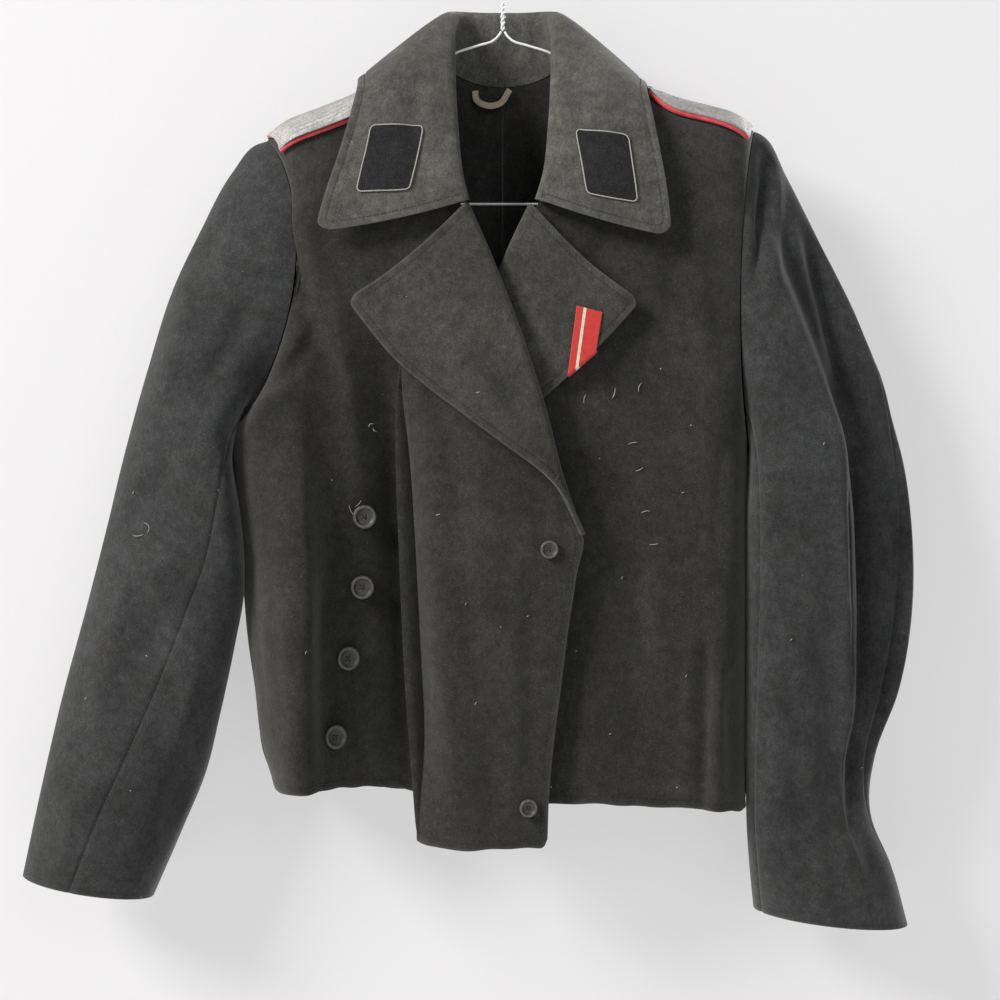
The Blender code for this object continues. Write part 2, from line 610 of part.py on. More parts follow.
def surface_of(*grids):
    """The surface of one or more grids, for finding points on it."""
    points, faces = [], []
    for grid in grids:
        rows, columns = grid.shape[:2]
        faces += [tuple(i + len(points) for i in face) for face in grid_faces(rows, columns)]
        points += [Vector(p) for p in grid.reshape(-1, 3)]
    return BVHTree.FromPolygons(points, faces)


def seen_from_front(surface, x, z):
    """The foremost point of a surface at x and z, and its normal turned to the front."""
    place, normal, _, _ = surface.ray_cast(Vector((x, -RAY_START, z)), Vector((0, 1, 0)))
    if normal.y > 0:
        normal = -normal
    return place, normal


def laid_on(surface, corners, lift, across, down):
    """Grid of a four-cornered patch, made from the points of the cloth below it, moved out."""
    a, b, c, d = (np.array(corner, float) for corner in corners)
    rows = []
    for v in np.linspace(0, 1, down + 1):
        row = []
        for u in np.linspace(0, 1, across + 1):
            x, z = (1 - v) * ((1 - u) * a + u * b) + v * ((1 - u) * d + u * c)
            place, normal = seen_from_front(surface, x, z)
            row.append(np.array(place + normal * lift))
        rows.append(row)
    return np.array(rows)


def strap_grid(side, cloth, lift, inset):
    """A strap over the shoulder's ridge, made from the points of the cloth below it, moved out.

    It is square at the armhole and round or square at the neck. Each point is found on lines towards the
    middle of the shoulder, which is RIDGE_DROP below its seam.
    """
    strap = STRAPS[side]
    half = (strap["front"] + strap["back"]) / 2 - math.degrees(inset / PLAIN_DEPTH["front"])
    middle = (strap["front"] - strap["back"]) / 2
    rows = []
    for share in STRAP_SHARES:
        along = (strap["outer"] - strap["inner"]) * share / (math.radians(half) * PLAIN_DEPTH["front"])
        round_width = math.sqrt(1 - (1 - min(along, 1)) ** 2)
        width = ROUND_END_WIDTH + (1 - ROUND_END_WIDTH) * round_width if strap["round_end"] else 1
        row = []
        for step in np.linspace(-1, 1, STRAP_COLUMNS):
            angle = math.radians(middle + half * step * width)
            slant = max(math.sin(angle), 0) ** 2
            inner = strap["inner"] + inset + strap["inner_slant"] * slant
            outer = strap["outer"] - strap["outer_slant"] * slant
            x = SIGN[side] * (inner + (outer - inner) * share)
            centre = Vector((x, 0, shoulder_height(side, x) - RIDGE_DROP))
            out = Vector((0, -math.sin(angle), math.cos(angle)))
            starts = [centre + out * RAY_START + Vector((near, 0, 0)) for near in STRAP_BEARING]
            hits = [cloth.ray_cast(start, -out)[0] for start in starts]
            reach = max((hit - centre).dot(out) for hit in hits if hit is not None)
            row.append(np.array(centre + out * (reach + lift)))
        rows.append(row)
    return np.array(rows)


def add_button(name, place, normal, diameter, material):
    """A turned button with a raised rim and a dished middle, its back on the cloth."""
    radius = diameter / 2
    profile = ((0, 1.4), (radius * 0.55, 1.5), (radius * 0.78, 3.1), (radius * 0.95, 2.9), (radius, 1.8),
               (radius * 0.86, 0.0), (0, 0.0))
    mesh = bpy.data.meshes.new(name)
    points = [(x * MM, 0, z * MM) for x, z in profile]
    mesh.from_pydata(points, [(i, i + 1) for i in range(len(points) - 1)], [])
    button = add_object(name, mesh, material)
    screw = button.modifiers.new("turned", "SCREW")
    screw.steps = screw.render_steps = BUTTON_STEPS
    screw.use_merge_vertices = True
    screw.merge_threshold = MERGE_WITHIN
    screw.use_smooth_shade = True
    button.location = (place + normal * BUTTON_LIFT) * MM
    button.rotation_euler = normal.to_track_quat("Z", "Y").to_euler()
    return button


# ---------------------------------------------------------------------------------------------------
# Hanger and loop
# ---------------------------------------------------------------------------------------------------

def add_wire(name, points, material):
    """A wire along a smooth line, as a curve with a bevel and filled ends."""
    curve = bpy.data.curves.new(name, "CURVE")
    curve.dimensions = "3D"
    curve.bevel_depth = WIRE_DIAMETER / 2 * MM
    curve.bevel_resolution = 2
    curve.use_fill_caps = True
    spline = curve.splines.new("POLY")
    spline.points.add(len(points) - 1)
    for point, place in zip(spline.points, points):
        point.co = (*(np.asarray(place) * MM), 1)
    piece = bpy.data.objects.new(name, curve)
    curve.materials.append(material)
    tunic.objects.link(piece)
    return piece


def add_stem(material):
    """The stem, where the wire's two ends are twisted round each other, as one round bar."""
    middle = (STEM_TOP + STEM_BOTTOM) / 2
    bpy.ops.mesh.primitive_cylinder_add(vertices=12, radius=WIRE_DIAMETER * MM,
                                        depth=(STEM_TOP - STEM_BOTTOM) * MM, location=(0, 0, middle * MM))
    stem = bpy.context.object
    stem.name = stem.data.name = "hanger_stem"
    stem.data.materials.append(material)
    for collection in list(stem.users_collection):
        collection.objects.unlink(stem)
    tunic.objects.link(stem)


def hanger_lines():
    """Centre lines of the hanger's wire: the hook, the two arms below the twisted stem, and the bar."""
    radius = HOOK_INNER_RADIUS + WIRE_DIAMETER / 2
    round_part = [(radius * math.sin(a), 0, radius * math.cos(a) - HOOK_INNER_RADIUS)
                  for a in np.radians(np.linspace(-112, 118, 17))]
    foot = [(12, 0, -36), (4, 0, -42), (0.5, 0, -47), (0, 0, STEM_TOP + SEAM_GAP)]
    lines = {"hanger_hook": np.array(round_part + foot)}
    for side in (RIGHT, LEFT):
        sign = SIGN[side]
        under_seam = [(sign * x, 0, shoulder_height(side, sign * x) - ARM_BELOW_SEAM) for x in (57, 88, 118)]
        neck = [(sign * 1.6, 0, STEM_BOTTOM - 1), (sign * 3, 0, -80.5), (sign * 8, 0, -85.5),
                (sign * 20, 0, -89.5), (sign * 42, 0, -97)]
        corner = [(sign * 180, 0, -187), (sign * 202, 0, -207), (sign * 196, 0, -222)]
        lines[f"hanger_arm_{side}"] = through(neck + under_seam + corner, (2, 2, 2, 2, 1, 2, 2, 3, 2, 2))
    lines["hanger_bar"] = np.linspace((-194, 0, -224.5), (194, 0, -224.5), 3)
    return lines


def loop_grid():
    """Tape loop inside the back of the neck: a flat ribbon that hangs down in a U from the neck seam."""
    line = through([(-24, 27, -121), (-23, 25.5, -129), (-12, 24, -135), (-3, 24.5, -133), (6, 27, -120)],
                   (3, 3, 3, 3))
    rows = []
    for index, point in enumerate(line):
        ahead = line[min(index + 1, len(line) - 1)] - line[max(index - 1, 0)]
        across = unit(np.array([-ahead[2], 0, ahead[0]]))
        rows.append([point - across * TAPE_WIDTH / 2, point + across * TAPE_WIDTH / 2])
    return np.array(rows)


# ---------------------------------------------------------------------------------------------------
# The tunic, piece by piece
# ---------------------------------------------------------------------------------------------------

for old in list(bpy.data.objects):
    bpy.data.objects.remove(old)

tunic = bpy.data.collections.new("combat_tunic")
bpy.context.scene.collection.children.link(tunic)

wool = make_material("field_grey_wool", (0.062, 0.062, 0.057), 0.95)
patch_cloth = make_material("black_patch_cloth", (0.012, 0.012, 0.013), 0.9)
braid = make_material("grey_braid", (0.30, 0.29, 0.27), 0.6)
piping = make_material("red_piping", (0.55, 0.07, 0.09), 0.8)
ribbon_weave = make_material("ribbon_weave", (0.45, 0.03, 0.02), 0.6)
horn = make_material("dark_button", (0.05, 0.05, 0.047), 0.45)
tape = make_material("beige_tape", (0.45, 0.38, 0.28), 0.85)
wire = make_material("white_wire", (0.75, 0.76, 0.76), 0.4)

fronts = {side: front_panel(side) for side in (RIGHT, LEFT)}
backs = {side: back_panel(side) for side in (RIGHT, LEFT)}
for side in (RIGHT, LEFT):
    add_wall(f"front_{side}", *panel_faces(fronts[side], -1), wool)
    add_wall(f"back_{side}", *panel_faces(backs[side], 1), wool)
    top_sleeve, under_sleeve = sleeve_faces(side)
    add_wall(f"sleeve_top_{side}", *top_sleeve, wool)
    add_wall(f"sleeve_under_{side}", *under_sleeve, wool)

collar = collar_grid(fronts, backs)
add_sheet("collar", collar, FACED_WALL, wool, (0, 0, 1))
lapels = {side: lapel_grid(side, fronts[side]) for side in (RIGHT, LEFT)}
for side in (RIGHT, LEFT):
    add_sheet(f"lapel_{side}", lapels[side], FACED_WALL, wool, (0, -1, 0))

for side in (RIGHT, LEFT):
    shoulder = surface_of(fronts[side], backs[side], sleeve_faces(side)[0][0])
    underlay = strap_grid(side, shoulder, STRAP_LIFT, 0.0)
    woven = strap_grid(side, shoulder, STRAP_LIFT + UNDERLAY_WALL + 5 * SEAM_GAP, PIPING_WIDTH)
    add_sheet(f"strap_underlay_{side}", underlay, UNDERLAY_WALL, piping, (0, 0, 1))
    add_sheet(f"strap_braid_{side}", woven, BRAID_WALL, braid, (0, 0, 1))
    patch = laid_on(surface_of(collar), PATCHES[side], FACED_WALL + SEAM_GAP, 3, 4)
    add_sheet(f"collar_patch_{side}", patch, PATCH_WALL, patch_cloth, (0, -1, 0))

ribbon = laid_on(surface_of(lapels[LEFT]), RIBBON, FACED_WALL + SEAM_GAP, 2, 4)
add_sheet("ribbon", ribbon, PATCH_WALL, ribbon_weave, (0, -1, 0))

right_front = surface_of(fronts[RIGHT])
for name, x, z, diameter in BUTTONS:
    place, normal = seen_from_front(right_front, x, z)
    add_button(name, place, normal, diameter, horn)

add_sheet("hanging_loop", loop_grid(), TAPE_WALL, tape, (0, -1, 0))
for name, line in hanger_lines().items():
    add_wire(name, line, wire)
add_stem(wire)
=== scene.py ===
import math

import bpy
import numpy as np
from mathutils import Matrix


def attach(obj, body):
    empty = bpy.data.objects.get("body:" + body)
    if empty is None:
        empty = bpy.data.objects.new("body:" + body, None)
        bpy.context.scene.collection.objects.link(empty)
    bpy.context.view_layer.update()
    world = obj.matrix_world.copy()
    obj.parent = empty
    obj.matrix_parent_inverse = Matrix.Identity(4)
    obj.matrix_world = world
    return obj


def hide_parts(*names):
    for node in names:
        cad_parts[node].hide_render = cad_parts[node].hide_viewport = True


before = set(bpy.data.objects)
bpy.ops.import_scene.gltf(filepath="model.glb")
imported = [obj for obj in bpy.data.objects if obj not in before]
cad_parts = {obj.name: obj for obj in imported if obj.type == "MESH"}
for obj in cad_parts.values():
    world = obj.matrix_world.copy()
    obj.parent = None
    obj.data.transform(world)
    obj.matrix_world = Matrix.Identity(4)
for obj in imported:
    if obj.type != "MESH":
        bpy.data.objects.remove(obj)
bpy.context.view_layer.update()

# The tunic faces -Y and hangs in the plane y = 0 from the hanger's hook, whose inner top is the origin.
# Right and left are the wearer's, so the wearer's right is at -X. Shapes are worked out in millimetres
# and put into the meshes in metres.

# ------------------------------------------------------------------------------------------------
# Fronts
# The two fronts are cut from thick felted wool, unlined, from the shoulder seam to the hem. The right
# one laps over the left one: it bulges, sinks into a valley and folds back under its own overlap.
# ------------------------------------------------------------------------------------------------
MM = 0.001
RIGHT, LEFT = "right", "left"
SIGN = {RIGHT: -1, LEFT: 1}
CLOTH_WALL = 1.9
SEAM_GAP = 0.3
RIDGE_DROP, SAG_DEPTH = 30.0, 70.0
PLAIN_ABOVE, FOLDED_BELOW, FIRST_EVEN_SHARE = -290, -415, 0.18
FINE_DOWN, FINE_ACROSS = 6, 6        # steps of the fine grid in each step of the tables

ARM_ANGLES = (0, 6, 16, 28, 42, 56, 70, 85, 100, 115, 130, 145, 160, 172, 180)
SIDE_ANGLES = (0, 8, 22, 38, 56, 74)
ARMHOLES = {
    RIGHT: dict(shoulder=(-202, -172), underarm=(-230, -417), front=38, back=34, front_bow=44, back_bow=24),
    LEFT: dict(shoulder=(213, -163), underarm=(207, -425), front=38, back=34, front_bow=14, back_bow=14),
}
BOW_POWER = 1.4
# Shoulder seam: distance from the middle, height on the right, height on the left
SHOULDER_SEAM = np.array([(55, -101, -101), (88, -121, -119), (119, -138, -135), (172, -159, -149),
                          (213, -176, -163)], float)
# Side seams below the underarm: height, distance from the middle
SIDE_SEAM = {
    RIGHT: ((-417, 230), (-430, 229.5), (-476, 225.5), (-520, 222), (-587, 217), (-664, 206),
            (-702, 201), (-716, 194)),
    LEFT: ((-425, 208), (-436, 207.3), (-500, 207.2), (-560, 206.8), (-733, 205.5)),
}
# Front edges from the neck point down: height, x, depth in front of the hanger
FRONT_EDGE = {
    RIGHT: ((-101, -55, 0), (-101.8, -55, 5), (-107, -56, 13), (-118, -57, 21), (-139, -56, 30),
            (-165, -54, 38), (-203, -47, 46), (-237, -33, 50), (-279, -15, 53), (-339, 8, 58),
            (-404, 29, 61), (-468, 47, 62), (-487, 55.5, 62), (-495, 61, 62), (-503, 64.5, 62),
            (-534, 60, 62), (-580, 53, 62), (-636, 46, 61), (-704, 38, 60), (-758, 36, 58)),
    LEFT: ((-101, 55, 0), (-101.8, 55, 5), (-107, 56, 13), (-118, 57, 21), (-139, 56, 30),
           (-165, 54, 38), (-203, 46, 43), (-237, 26, 44), (-273, 9, 43), (-304, -3, 42),
           (-337, -13, 41), (-378, -26, 40), (-420, -42, 38), (-455, -45, 38), (-724, -45, 38)),
}
# Height at the front edge of each row above the underarm, and below it at the side and at the edge
EDGE_ROWS = {
    RIGHT: (-101, -101.8, -107, -118, -139, -170, -204, -237, -271, -305, -339, -372, -404, -424, -438),
    LEFT: (-101, -101.8, -107, -118, -139, -170, -204, -237, -273, -304, -337, -370, -400, -420, -436),
}
LOWER_ROWS = {
    RIGHT: ((-440, -462), (-463, -487), (-482, -503), (-512, -537), (-552, -580), (-593, -624),
            (-634, -668), (-676, -714), (-716, -758)),
    LEFT: ((-445, -454), (-470, -475), (-500, -503), (-540, -541), (-580, -579), (-620, -617),
           (-660, -655), (-698, -691), (-733, -724)),
}
# Sections: height, then x and depth of each station across the front
FRONT_SECTIONS = {
    RIGHT: ((-340, (-188, 43), (-125, 32), (-74, 34), (-88, 47), (-60, 56)),
            (-420, (-192, 46), (-116, 25), (-64, 29), (-88, 51), (-62, 61)),
            (-500, (-184, 48), (-108, 19), (-60, 26), (-85, 52), (-58, 63)),
            (-600, (-176, 50), (-103, 16), (-56, 26), (-80, 53), (-52, 64)),
            (-720, (-162, 52), (-98, 15), (-48, 26), (-70, 53), (-43, 64))),
    LEFT: ((-340, (172, 44), (125, 38), (55, 42)),
           (-500, (172, 47), (122, 41), (50, 44)),
           (-730, (172, 50), (138, 43), (70, 47))),
}
FRONT_COLUMNS = {RIGHT: (4, 5, 4, 3, 5), LEFT: (3, 3, 4)}
FRONT_HEM_SHARE = {RIGHT: (0.0, 0.03, 0.45, 0.9, 1.0), LEFT: (0.2, 0.5, 0.8)}
FRONT_PLAIN_DEPTH = 40

# Creases: start and end in x and z, bow, half width, and how far the cloth rises (or sinks, if negative)
FRONT_CREASES = {
    RIGHT: ((-186, -212, -148, -330, 6, 11, 3.8), (-172, -250, -132, -395, -8, 10, -4.8),
            (-205, -395, -150, -330, -5, 9, -4.2), (-214, -430, -168, -372, 6, 8, 3.5),
            (-150, -250, -118, -500, 5, 9, 2.6), (-204, -470, -196, -690, -7, 10, -3.2),
            (-176, -430, -168, -640, 6, 12, 3.8), (-150, -520, -140, -712, -4, 9, -2.9),
            (-74, -345, -30, -520, 10, 12, -3.2), (-40, -420, -10, -650, -9, 13, -3.5),
            (-62, -560, -40, -750, 6, 10, 2.7), (6, -560, 4, -740, 5, 12, 3.2),
            (-103, -325, -72, -780, 5, 18, -17), (-176, -330, -166, -775, 4, 15, 10),
            (30, -520, 22, -640, -4, 7, -1.8), (-18, -660, -8, -755, 3, 8, -1.9)),
    LEFT: ((70, -250, 118, -330, -5, 13, -4.8), (128, -200, 134, -345, 7, 11, -4.5),
           (160, -215, 176, -400, -6, 9, 2.9), (90, -365, 150, -455, 8, 14, -3.5),
           (190, -400, 178, -560, -7, 9, -2.9), (165, -560, 161, -760, 3, 5, -5),
           (176, -570, 173, -760, 0, 7, 4),
           (156, -560, 152, -730, -3, 6, 2.6), (95, -470, 104, -720, 10, 13, -3.2),
           (130, -500, 140, -690, -7, 12, 3), (62, -560, 70, -720, 4, 10, 2.2),
           (184, -620, 188, -728, 3, 7, -2.1)),
}

# How quickly a crease grows from its ends, and how quickly it fades on cloth that turns away
CREASE_GROWTH, CREASE_TURN = 3.2, 1.6


def xyz(x, y, z):
    """Points from their coordinates, each an array or one number for all."""
    return np.stack(np.broadcast_arrays(x, y, z), -1).astype(float)


def eased(t):
    """Shares t of a way that starts and ends gently."""
    return t * t * (3 - 2 * t)


def hermite_span(t, width, start, stop, slope, last_slope):
    """Points at shares t of cubic Hermite spans with the given widths, ends and end slopes."""
    return ((1 + 2 * t) * (1 - t) ** 2 * start + t * (1 - t) ** 2 * width * slope
            + t * t * (3 - 2 * t) * stop - t * t * (1 - t) * width * last_slope)


def hermite(knots, values, at):
    """Cubic Hermite curve through values at rising knots, each slope the mean of its neighbours' slopes."""
    knots, at = np.asarray(knots, float), np.atleast_1d(np.asarray(at, float))
    values = np.asarray(values, float).reshape(len(knots), -1)
    steps = np.diff(knots)[:, None]
    slopes = np.diff(values, axis=0) / steps
    inner = (slopes[:-1] * steps[1:] + slopes[1:] * steps[:-1]) / (steps[:-1] + steps[1:])
    tangents = np.vstack([slopes[:1], inner, slopes[-1:]])
    span = np.clip(np.searchsorted(knots, at, side="right") - 1, 0, len(knots) - 2)
    width = steps[span]
    t = ((at - knots[span])[:, None] / width).clip(0, 1)
    return hermite_span(t, width, values[span], values[span + 1], tangents[span], tangents[span + 1])


def flat_rows(table):
    """A table whose cells may be groups of numbers, as an array with all of a row's numbers in one row."""
    return np.array([np.hstack([np.ravel(cell) for cell in row]) for row in table], float)


def by_height(table, heights):
    """Rows of a table, whose first column is the height going down, at the given heights."""
    rows = flat_rows(table)
    return hermite(-rows[:, 0], rows[:, 1:], -np.asarray(heights, float))


def through(points, counts):
    """Smooth curves through rows of points, with counts[i] steps in span i: cubic Hermite spans whose
    slopes are the means of their neighbours' slopes by chord length."""
    points = np.asarray(points, float)
    steps = np.linalg.norm(np.diff(points, axis=-2), axis=-1, keepdims=True).clip(1e-6)
    slopes = np.diff(points, axis=-2) / steps
    before, after = steps[..., :-1, :], steps[..., 1:, :]
    inner = (slopes[..., :-1, :] * after + slopes[..., 1:, :] * before) / (before + after)
    tangents = np.concatenate([slopes[..., :1, :], inner, slopes[..., -1:, :]], axis=-2)
    span = np.repeat(np.arange(len(counts)), counts)
    t = np.concatenate([np.arange(1, count + 1) / count for count in counts])[:, None]
    width = steps[..., span, :]
    curve = hermite_span(t, width, points[..., span, :], points[..., span + 1, :],
                         tangents[..., span, :], tangents[..., span + 1, :])
    return np.concatenate([points[..., :1, :], curve], axis=-2)


def fine(grid, down, across):
    """A grid with down and across steps in each of its own, along smooth curves through its points."""
    grid = through(grid, [across] * (grid.shape[1] - 1))
    return through(grid.swapaxes(0, 1), [down] * (grid.shape[0] - 1)).swapaxes(0, 1)


def unit(vectors):
    return vectors / np.linalg.norm(vectors, axis=-1, keepdims=True).clip(1e-9)


def normals_of(grid, outward):
    """Unit normals of a grid, from the cross product of its two directions, turned to the side of outward."""
    normals = unit(np.cross(np.gradient(grid, axis=1), np.gradient(grid, axis=0)))
    return normals * np.sign((normals * outward).sum())


def armhole(side, angles, back=False):
    """Points of the armhole seam: an oval from the shoulder point to the underarm, bowed to the neck."""
    hole, angles = ARMHOLES[side], np.radians(angles)
    down, across = (1 - np.cos(angles)) / 2, np.sin(angles).clip(0)
    (x0, z0), (x1, z1) = hole["shoulder"], hole["underarm"]
    bow = hole["back_bow" if back else "front_bow"] * across ** BOW_POWER
    depth = hole["back"] if back else -hole["front"]
    return xyz(x0 + (x1 - x0) * down - SIGN[side] * bow, depth * across, z0 + (z1 - z0) * down)


def shoulder_height(side, x):
    """Height of the shoulder seam above points at x."""
    distance = np.clip(SIGN[side] * np.asarray(x, float), SHOULDER_SEAM[0, 0], SHOULDER_SEAM[-1, 0])
    column = 1 if side == RIGHT else 2
    return hermite(SHOULDER_SEAM[:, 0], SHOULDER_SEAM[:, column], distance.ravel()).reshape(distance.shape)


def side_seam(side, heights):
    """Points of the side seam below the underarm."""
    return xyz(SIGN[side] * by_height(SIDE_SEAM[side], heights)[:, 0], 0, heights)


def panel(side, start, end, stations, shares, columns, plain_depth, facing):
    """A panel's rows: a quarter ellipse round the side, then a smooth line through the stations.

    Above the chest the stations stand evenly between armhole and edge, and they move to their places in
    the section table over the height where the folds begin. The depth fades to the shoulder's seam along
    a quarter circle.
    """
    x0, _, z0 = start[:, None].transpose(2, 0, 1)
    x1, y1, z1 = end[:, None].transpose(2, 0, 1)
    folded = eased(((PLAIN_ABOVE - z0) / (PLAIN_ABOVE - FOLDED_BELOW)).clip(0, 1))
    count = stations.shape[1]
    even = FIRST_EVEN_SHARE + (1 - FIRST_EVEN_SHARE) * np.arange(count) / count
    place = (1 - folded) * (x0 + (x1 - x0) * even) + folded * stations[..., 0]
    z = z0 + (z1 - z0) * ((1 - folded) * even + folded * np.array(shares))
    shoulder_x, shoulder_z = ARMHOLES[side]["shoulder"]
    near = (1 - (shoulder_z - z0) / SAG_DEPTH).clip(0)
    distance, neck_x, neck_z = SIGN[side] * place, *SHOULDER_SEAM[0, :2]
    seam = neck_z + (shoulder_z - neck_z) * (distance - neck_x) / (abs(shoulder_x) - neck_x)
    z = z + np.where(distance > neck_x, near * (shoulder_height(side, place) - seam), 0)
    deep = (1 - even) * plain_depth + even * np.maximum(plain_depth, np.abs(y1))
    deep = (1 - folded) * deep + folded * stations[..., 1]
    drop = ((shoulder_height(side, place) - z) / RIDGE_DROP).clip(0, 1)
    middle = xyz(place, facing * deep * np.sqrt(1 - (1 - drop) ** 2), z)
    angles = np.radians(SIDE_ANGLES)
    along, out = 1 - np.cos(angles), np.sin(angles)
    turn = start[:, None] + (middle[:, :1] - start[:, None]) * xyz(along, out, along)
    return np.concatenate([turn, through(np.concatenate([middle, end[:, None]], 1), columns)], 1)


def front_panel(side):
    """Table grid of a front, from armhole and side to the front edge and from the shoulder to the hem."""
    lower = np.array(LOWER_ROWS[side], float)
    start = np.vstack([armhole(side, ARM_ANGLES), side_seam(side, lower[:, 0])])
    heights = np.concatenate([EDGE_ROWS[side], lower[:, 1]])
    edge = by_height(FRONT_EDGE[side], heights)
    end = xyz(edge[:, 0], -edge[:, 1], heights)
    stations = by_height(FRONT_SECTIONS[side], start[:, 2]).reshape(len(start), -1, 2)
    return panel(side, start, end, stations, FRONT_HEM_SHARE[side], FRONT_COLUMNS[side],
                 FRONT_PLAIN_DEPTH, -1)


def creased(grid, normals, creases, facing):
    """The grid with troughs and ridges: each follows a bowed line, with a bell-shaped section that fades at
    both ends, and moves only the cloth whose outer side looks towards facing along y."""
    shift = np.zeros(grid.shape[:2])
    for x0, z0, x1, z1, bow, width, rise in creases:
        along = np.array([x1 - x0, z1 - z0], float)
        length = np.linalg.norm(along)
        place = (grid[..., [0, 2]] - (x0, z0)) @ along / length ** 2
        off = (grid[..., [0, 2]] - (x0, z0)) @ np.array([-along[1], along[0]]) / length
        off = off - 4 * bow * place * (1 - place)
        fade = (np.minimum(place, 1 - place) * CREASE_GROWTH).clip(0, 1)
        shift += rise * eased(fade) * np.exp(-(off / width) ** 2)
    looks = (normals[..., 1] * facing * CREASE_TURN).clip(0, 1)
    return grid + normals * (shift * looks)[..., None]


def rounded(grid, corners):
    """The grid with round corners: near each corner, given as its row end, column end and reach in rows
    and columns, the square of places is pressed to a quarter disc and the grid is read there."""
    rows, columns = grid.shape[:2]
    v, u = np.meshgrid(np.arange(rows, dtype=float), np.arange(columns, dtype=float), indexing="ij")
    for last_row, last_column, tall, wide in corners:
        a = ((tall - (rows - 1 - v if last_row else v)) / tall).clip(0, 1)
        b = ((wide - (columns - 1 - u if last_column else u)) / wide).clip(0, 1)
        a_pull, b_pull = a * (1 - np.sqrt(1 - b * b / 2)) * tall, b * (1 - np.sqrt(1 - a * a / 2)) * wide
        v = v - a_pull if last_row else v + a_pull
        u = u - b_pull if last_column else u + b_pull
    return sample(grid, v, u)


def sample(grid, v, u):
    """Points of a grid at fractional rows v and columns u, straight between its points."""
    rows, columns = grid.shape[:2]
    i, j = np.clip(np.floor(v).astype(int), 0, rows - 2), np.clip(np.floor(u).astype(int), 0, columns - 2)
    a, b = (v - i)[..., None], (u - j)[..., None]
    return ((1 - a) * ((1 - b) * grid[i, j] + b * grid[i, j + 1])
            + a * ((1 - b) * grid[i + 1, j] + b * grid[i + 1, j + 1]))


def add_mesh(name, points, faces, finish, uv=None, values=None):
    """A mesh object at the origin from points in millimetres, with an optional UV map and point values.

    The UV map is given in millimetres too and stored in metres.
    """
    mesh = bpy.data.meshes.new(name)
    mesh.from_pydata((np.asarray(points).reshape(-1, 3) * MM).tolist(), [], faces)
    mesh.shade_smooth()
    if uv is not None:
        corners = np.asarray(faces).ravel()
        layer = mesh.uv_layers.new(name="cloth")
        layer.data.foreach_set("uv", (uv.reshape(-1, 2)[corners] * MM).ravel().astype(np.float32))
    for key, value in (values or {}).items():
        mesh.attributes.new(key, "FLOAT", "POINT").data.foreach_set(
            "value", np.asarray(value, np.float32).ravel())
    mesh.materials.append(finish)
    piece = bpy.data.objects.new(name, mesh)
    bpy.context.scene.collection.objects.link(piece)
    return piece


RIM_STEPS, RIM_ANGLE = 2, math.radians(50)


def cloth(name, grid, outward, wall, finish, values=None, round_edge=0.42):
    """A cloth piece whose outer face is the grid: quads facing outwards, a wall inwards, and soft rims.

    Its UV map runs along the cloth, by the mean length of its rows and columns.
    """
    rows, columns = grid.shape[:2]
    index = np.arange(rows * columns).reshape(rows, columns)
    faces = np.stack([index[:-1, :-1], index[:-1, 1:], index[1:, 1:], index[1:, :-1]], -1).reshape(-1, 4)
    facing = np.cross(grid[1:, 1:] - grid[:-1, :-1], grid[1:, :-1] - grid[:-1, 1:])
    outward = np.broadcast_to(outward, grid.shape)[:-1, :-1]
    if (facing * outward).sum() < 0:
        faces = faces[:, ::-1]
    across = np.linalg.norm(np.diff(grid, axis=1), axis=2).cumsum(1)
    down = np.linalg.norm(np.diff(grid, axis=0), axis=2).cumsum(0)
    uv = np.stack([np.hstack([np.zeros((rows, 1)), across]), np.vstack([np.zeros((1, columns)), down])], -1)
    piece = add_mesh(name, grid, faces.tolist(), finish, uv, values)
    solid = piece.modifiers.new("wall", "SOLIDIFY")
    solid.thickness, solid.offset = wall * MM, -1
    if round_edge:
        bevel = piece.modifiers.new("rim", "BEVEL")
        bevel.width, bevel.segments = wall * round_edge * MM, RIM_STEPS
        bevel.limit_method, bevel.angle_limit = "ANGLE", RIM_ANGLE
    return piece


def dress(piece, slot, *nodes):
    """The piece rides on the tunic and stands for the named nodes, which are hidden; the slot is not used."""
    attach(piece, "root")
    if nodes:
        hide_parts(*nodes)
    return piece


# Helpers that build materials, and the group of nodes that every wool finish shares

def feed(tree, node, inputs):
    """Sets each named input of a node to a value, or links it to a socket."""
    for key, value in inputs.items():
        if isinstance(value, bpy.types.NodeSocket):
            tree.links.new(value, node.inputs[key])
        else:
            node.inputs[key].default_value = value


def add_node(tree, kind, inputs=None, **settings):
    """A shader node with its settings, whose inputs are values or linked sockets."""
    made = tree.nodes.new("ShaderNode" + kind)
    for key, value in settings.items():
        setattr(made, key, value)
    feed(tree, made, inputs or {})
    return made


def object_place(tree):
    return add_node(tree, "TexCoord").outputs["Object"]


def noise(tree, where, scale, detail=2.0, rough=0.5):
    made = add_node(tree, "TexNoise", {"Vector": where, "Scale": scale, "Detail": detail, "Roughness": rough})
    return made.outputs[0]


def between(tree, value, low, high, to_low, to_high):
    """The value carried from the range low..high to to_low..to_high, and held at its ends."""
    made = add_node(tree, "MapRange", {"Value": value, "From Min": low, "From Max": high,
                                       "To Min": to_low, "To Max": to_high})
    return made.outputs[0]


def blend(tree, share, a, b, how="MIX"):
    """Two colours mixed by share."""
    made = add_node(tree, "Mix", {0: share, 6: a, 7: b}, data_type="RGBA", blend_type=how)
    return made.outputs[2]


def times(tree, colour, tone):
    """A colour made darker or lighter by a tone, where 1 leaves it as it is."""
    return blend(tree, 1.0, colour, tone, "MULTIPLY")


def sums(tree, how, a, b=0.0):
    return add_node(tree, "Math", {0: a, 1: b}, operation=how).outputs[0]


def new_material(name):
    """A new material and its node tree."""
    made = bpy.data.materials.new(name)
    made.use_nodes = True
    return made, made.node_tree


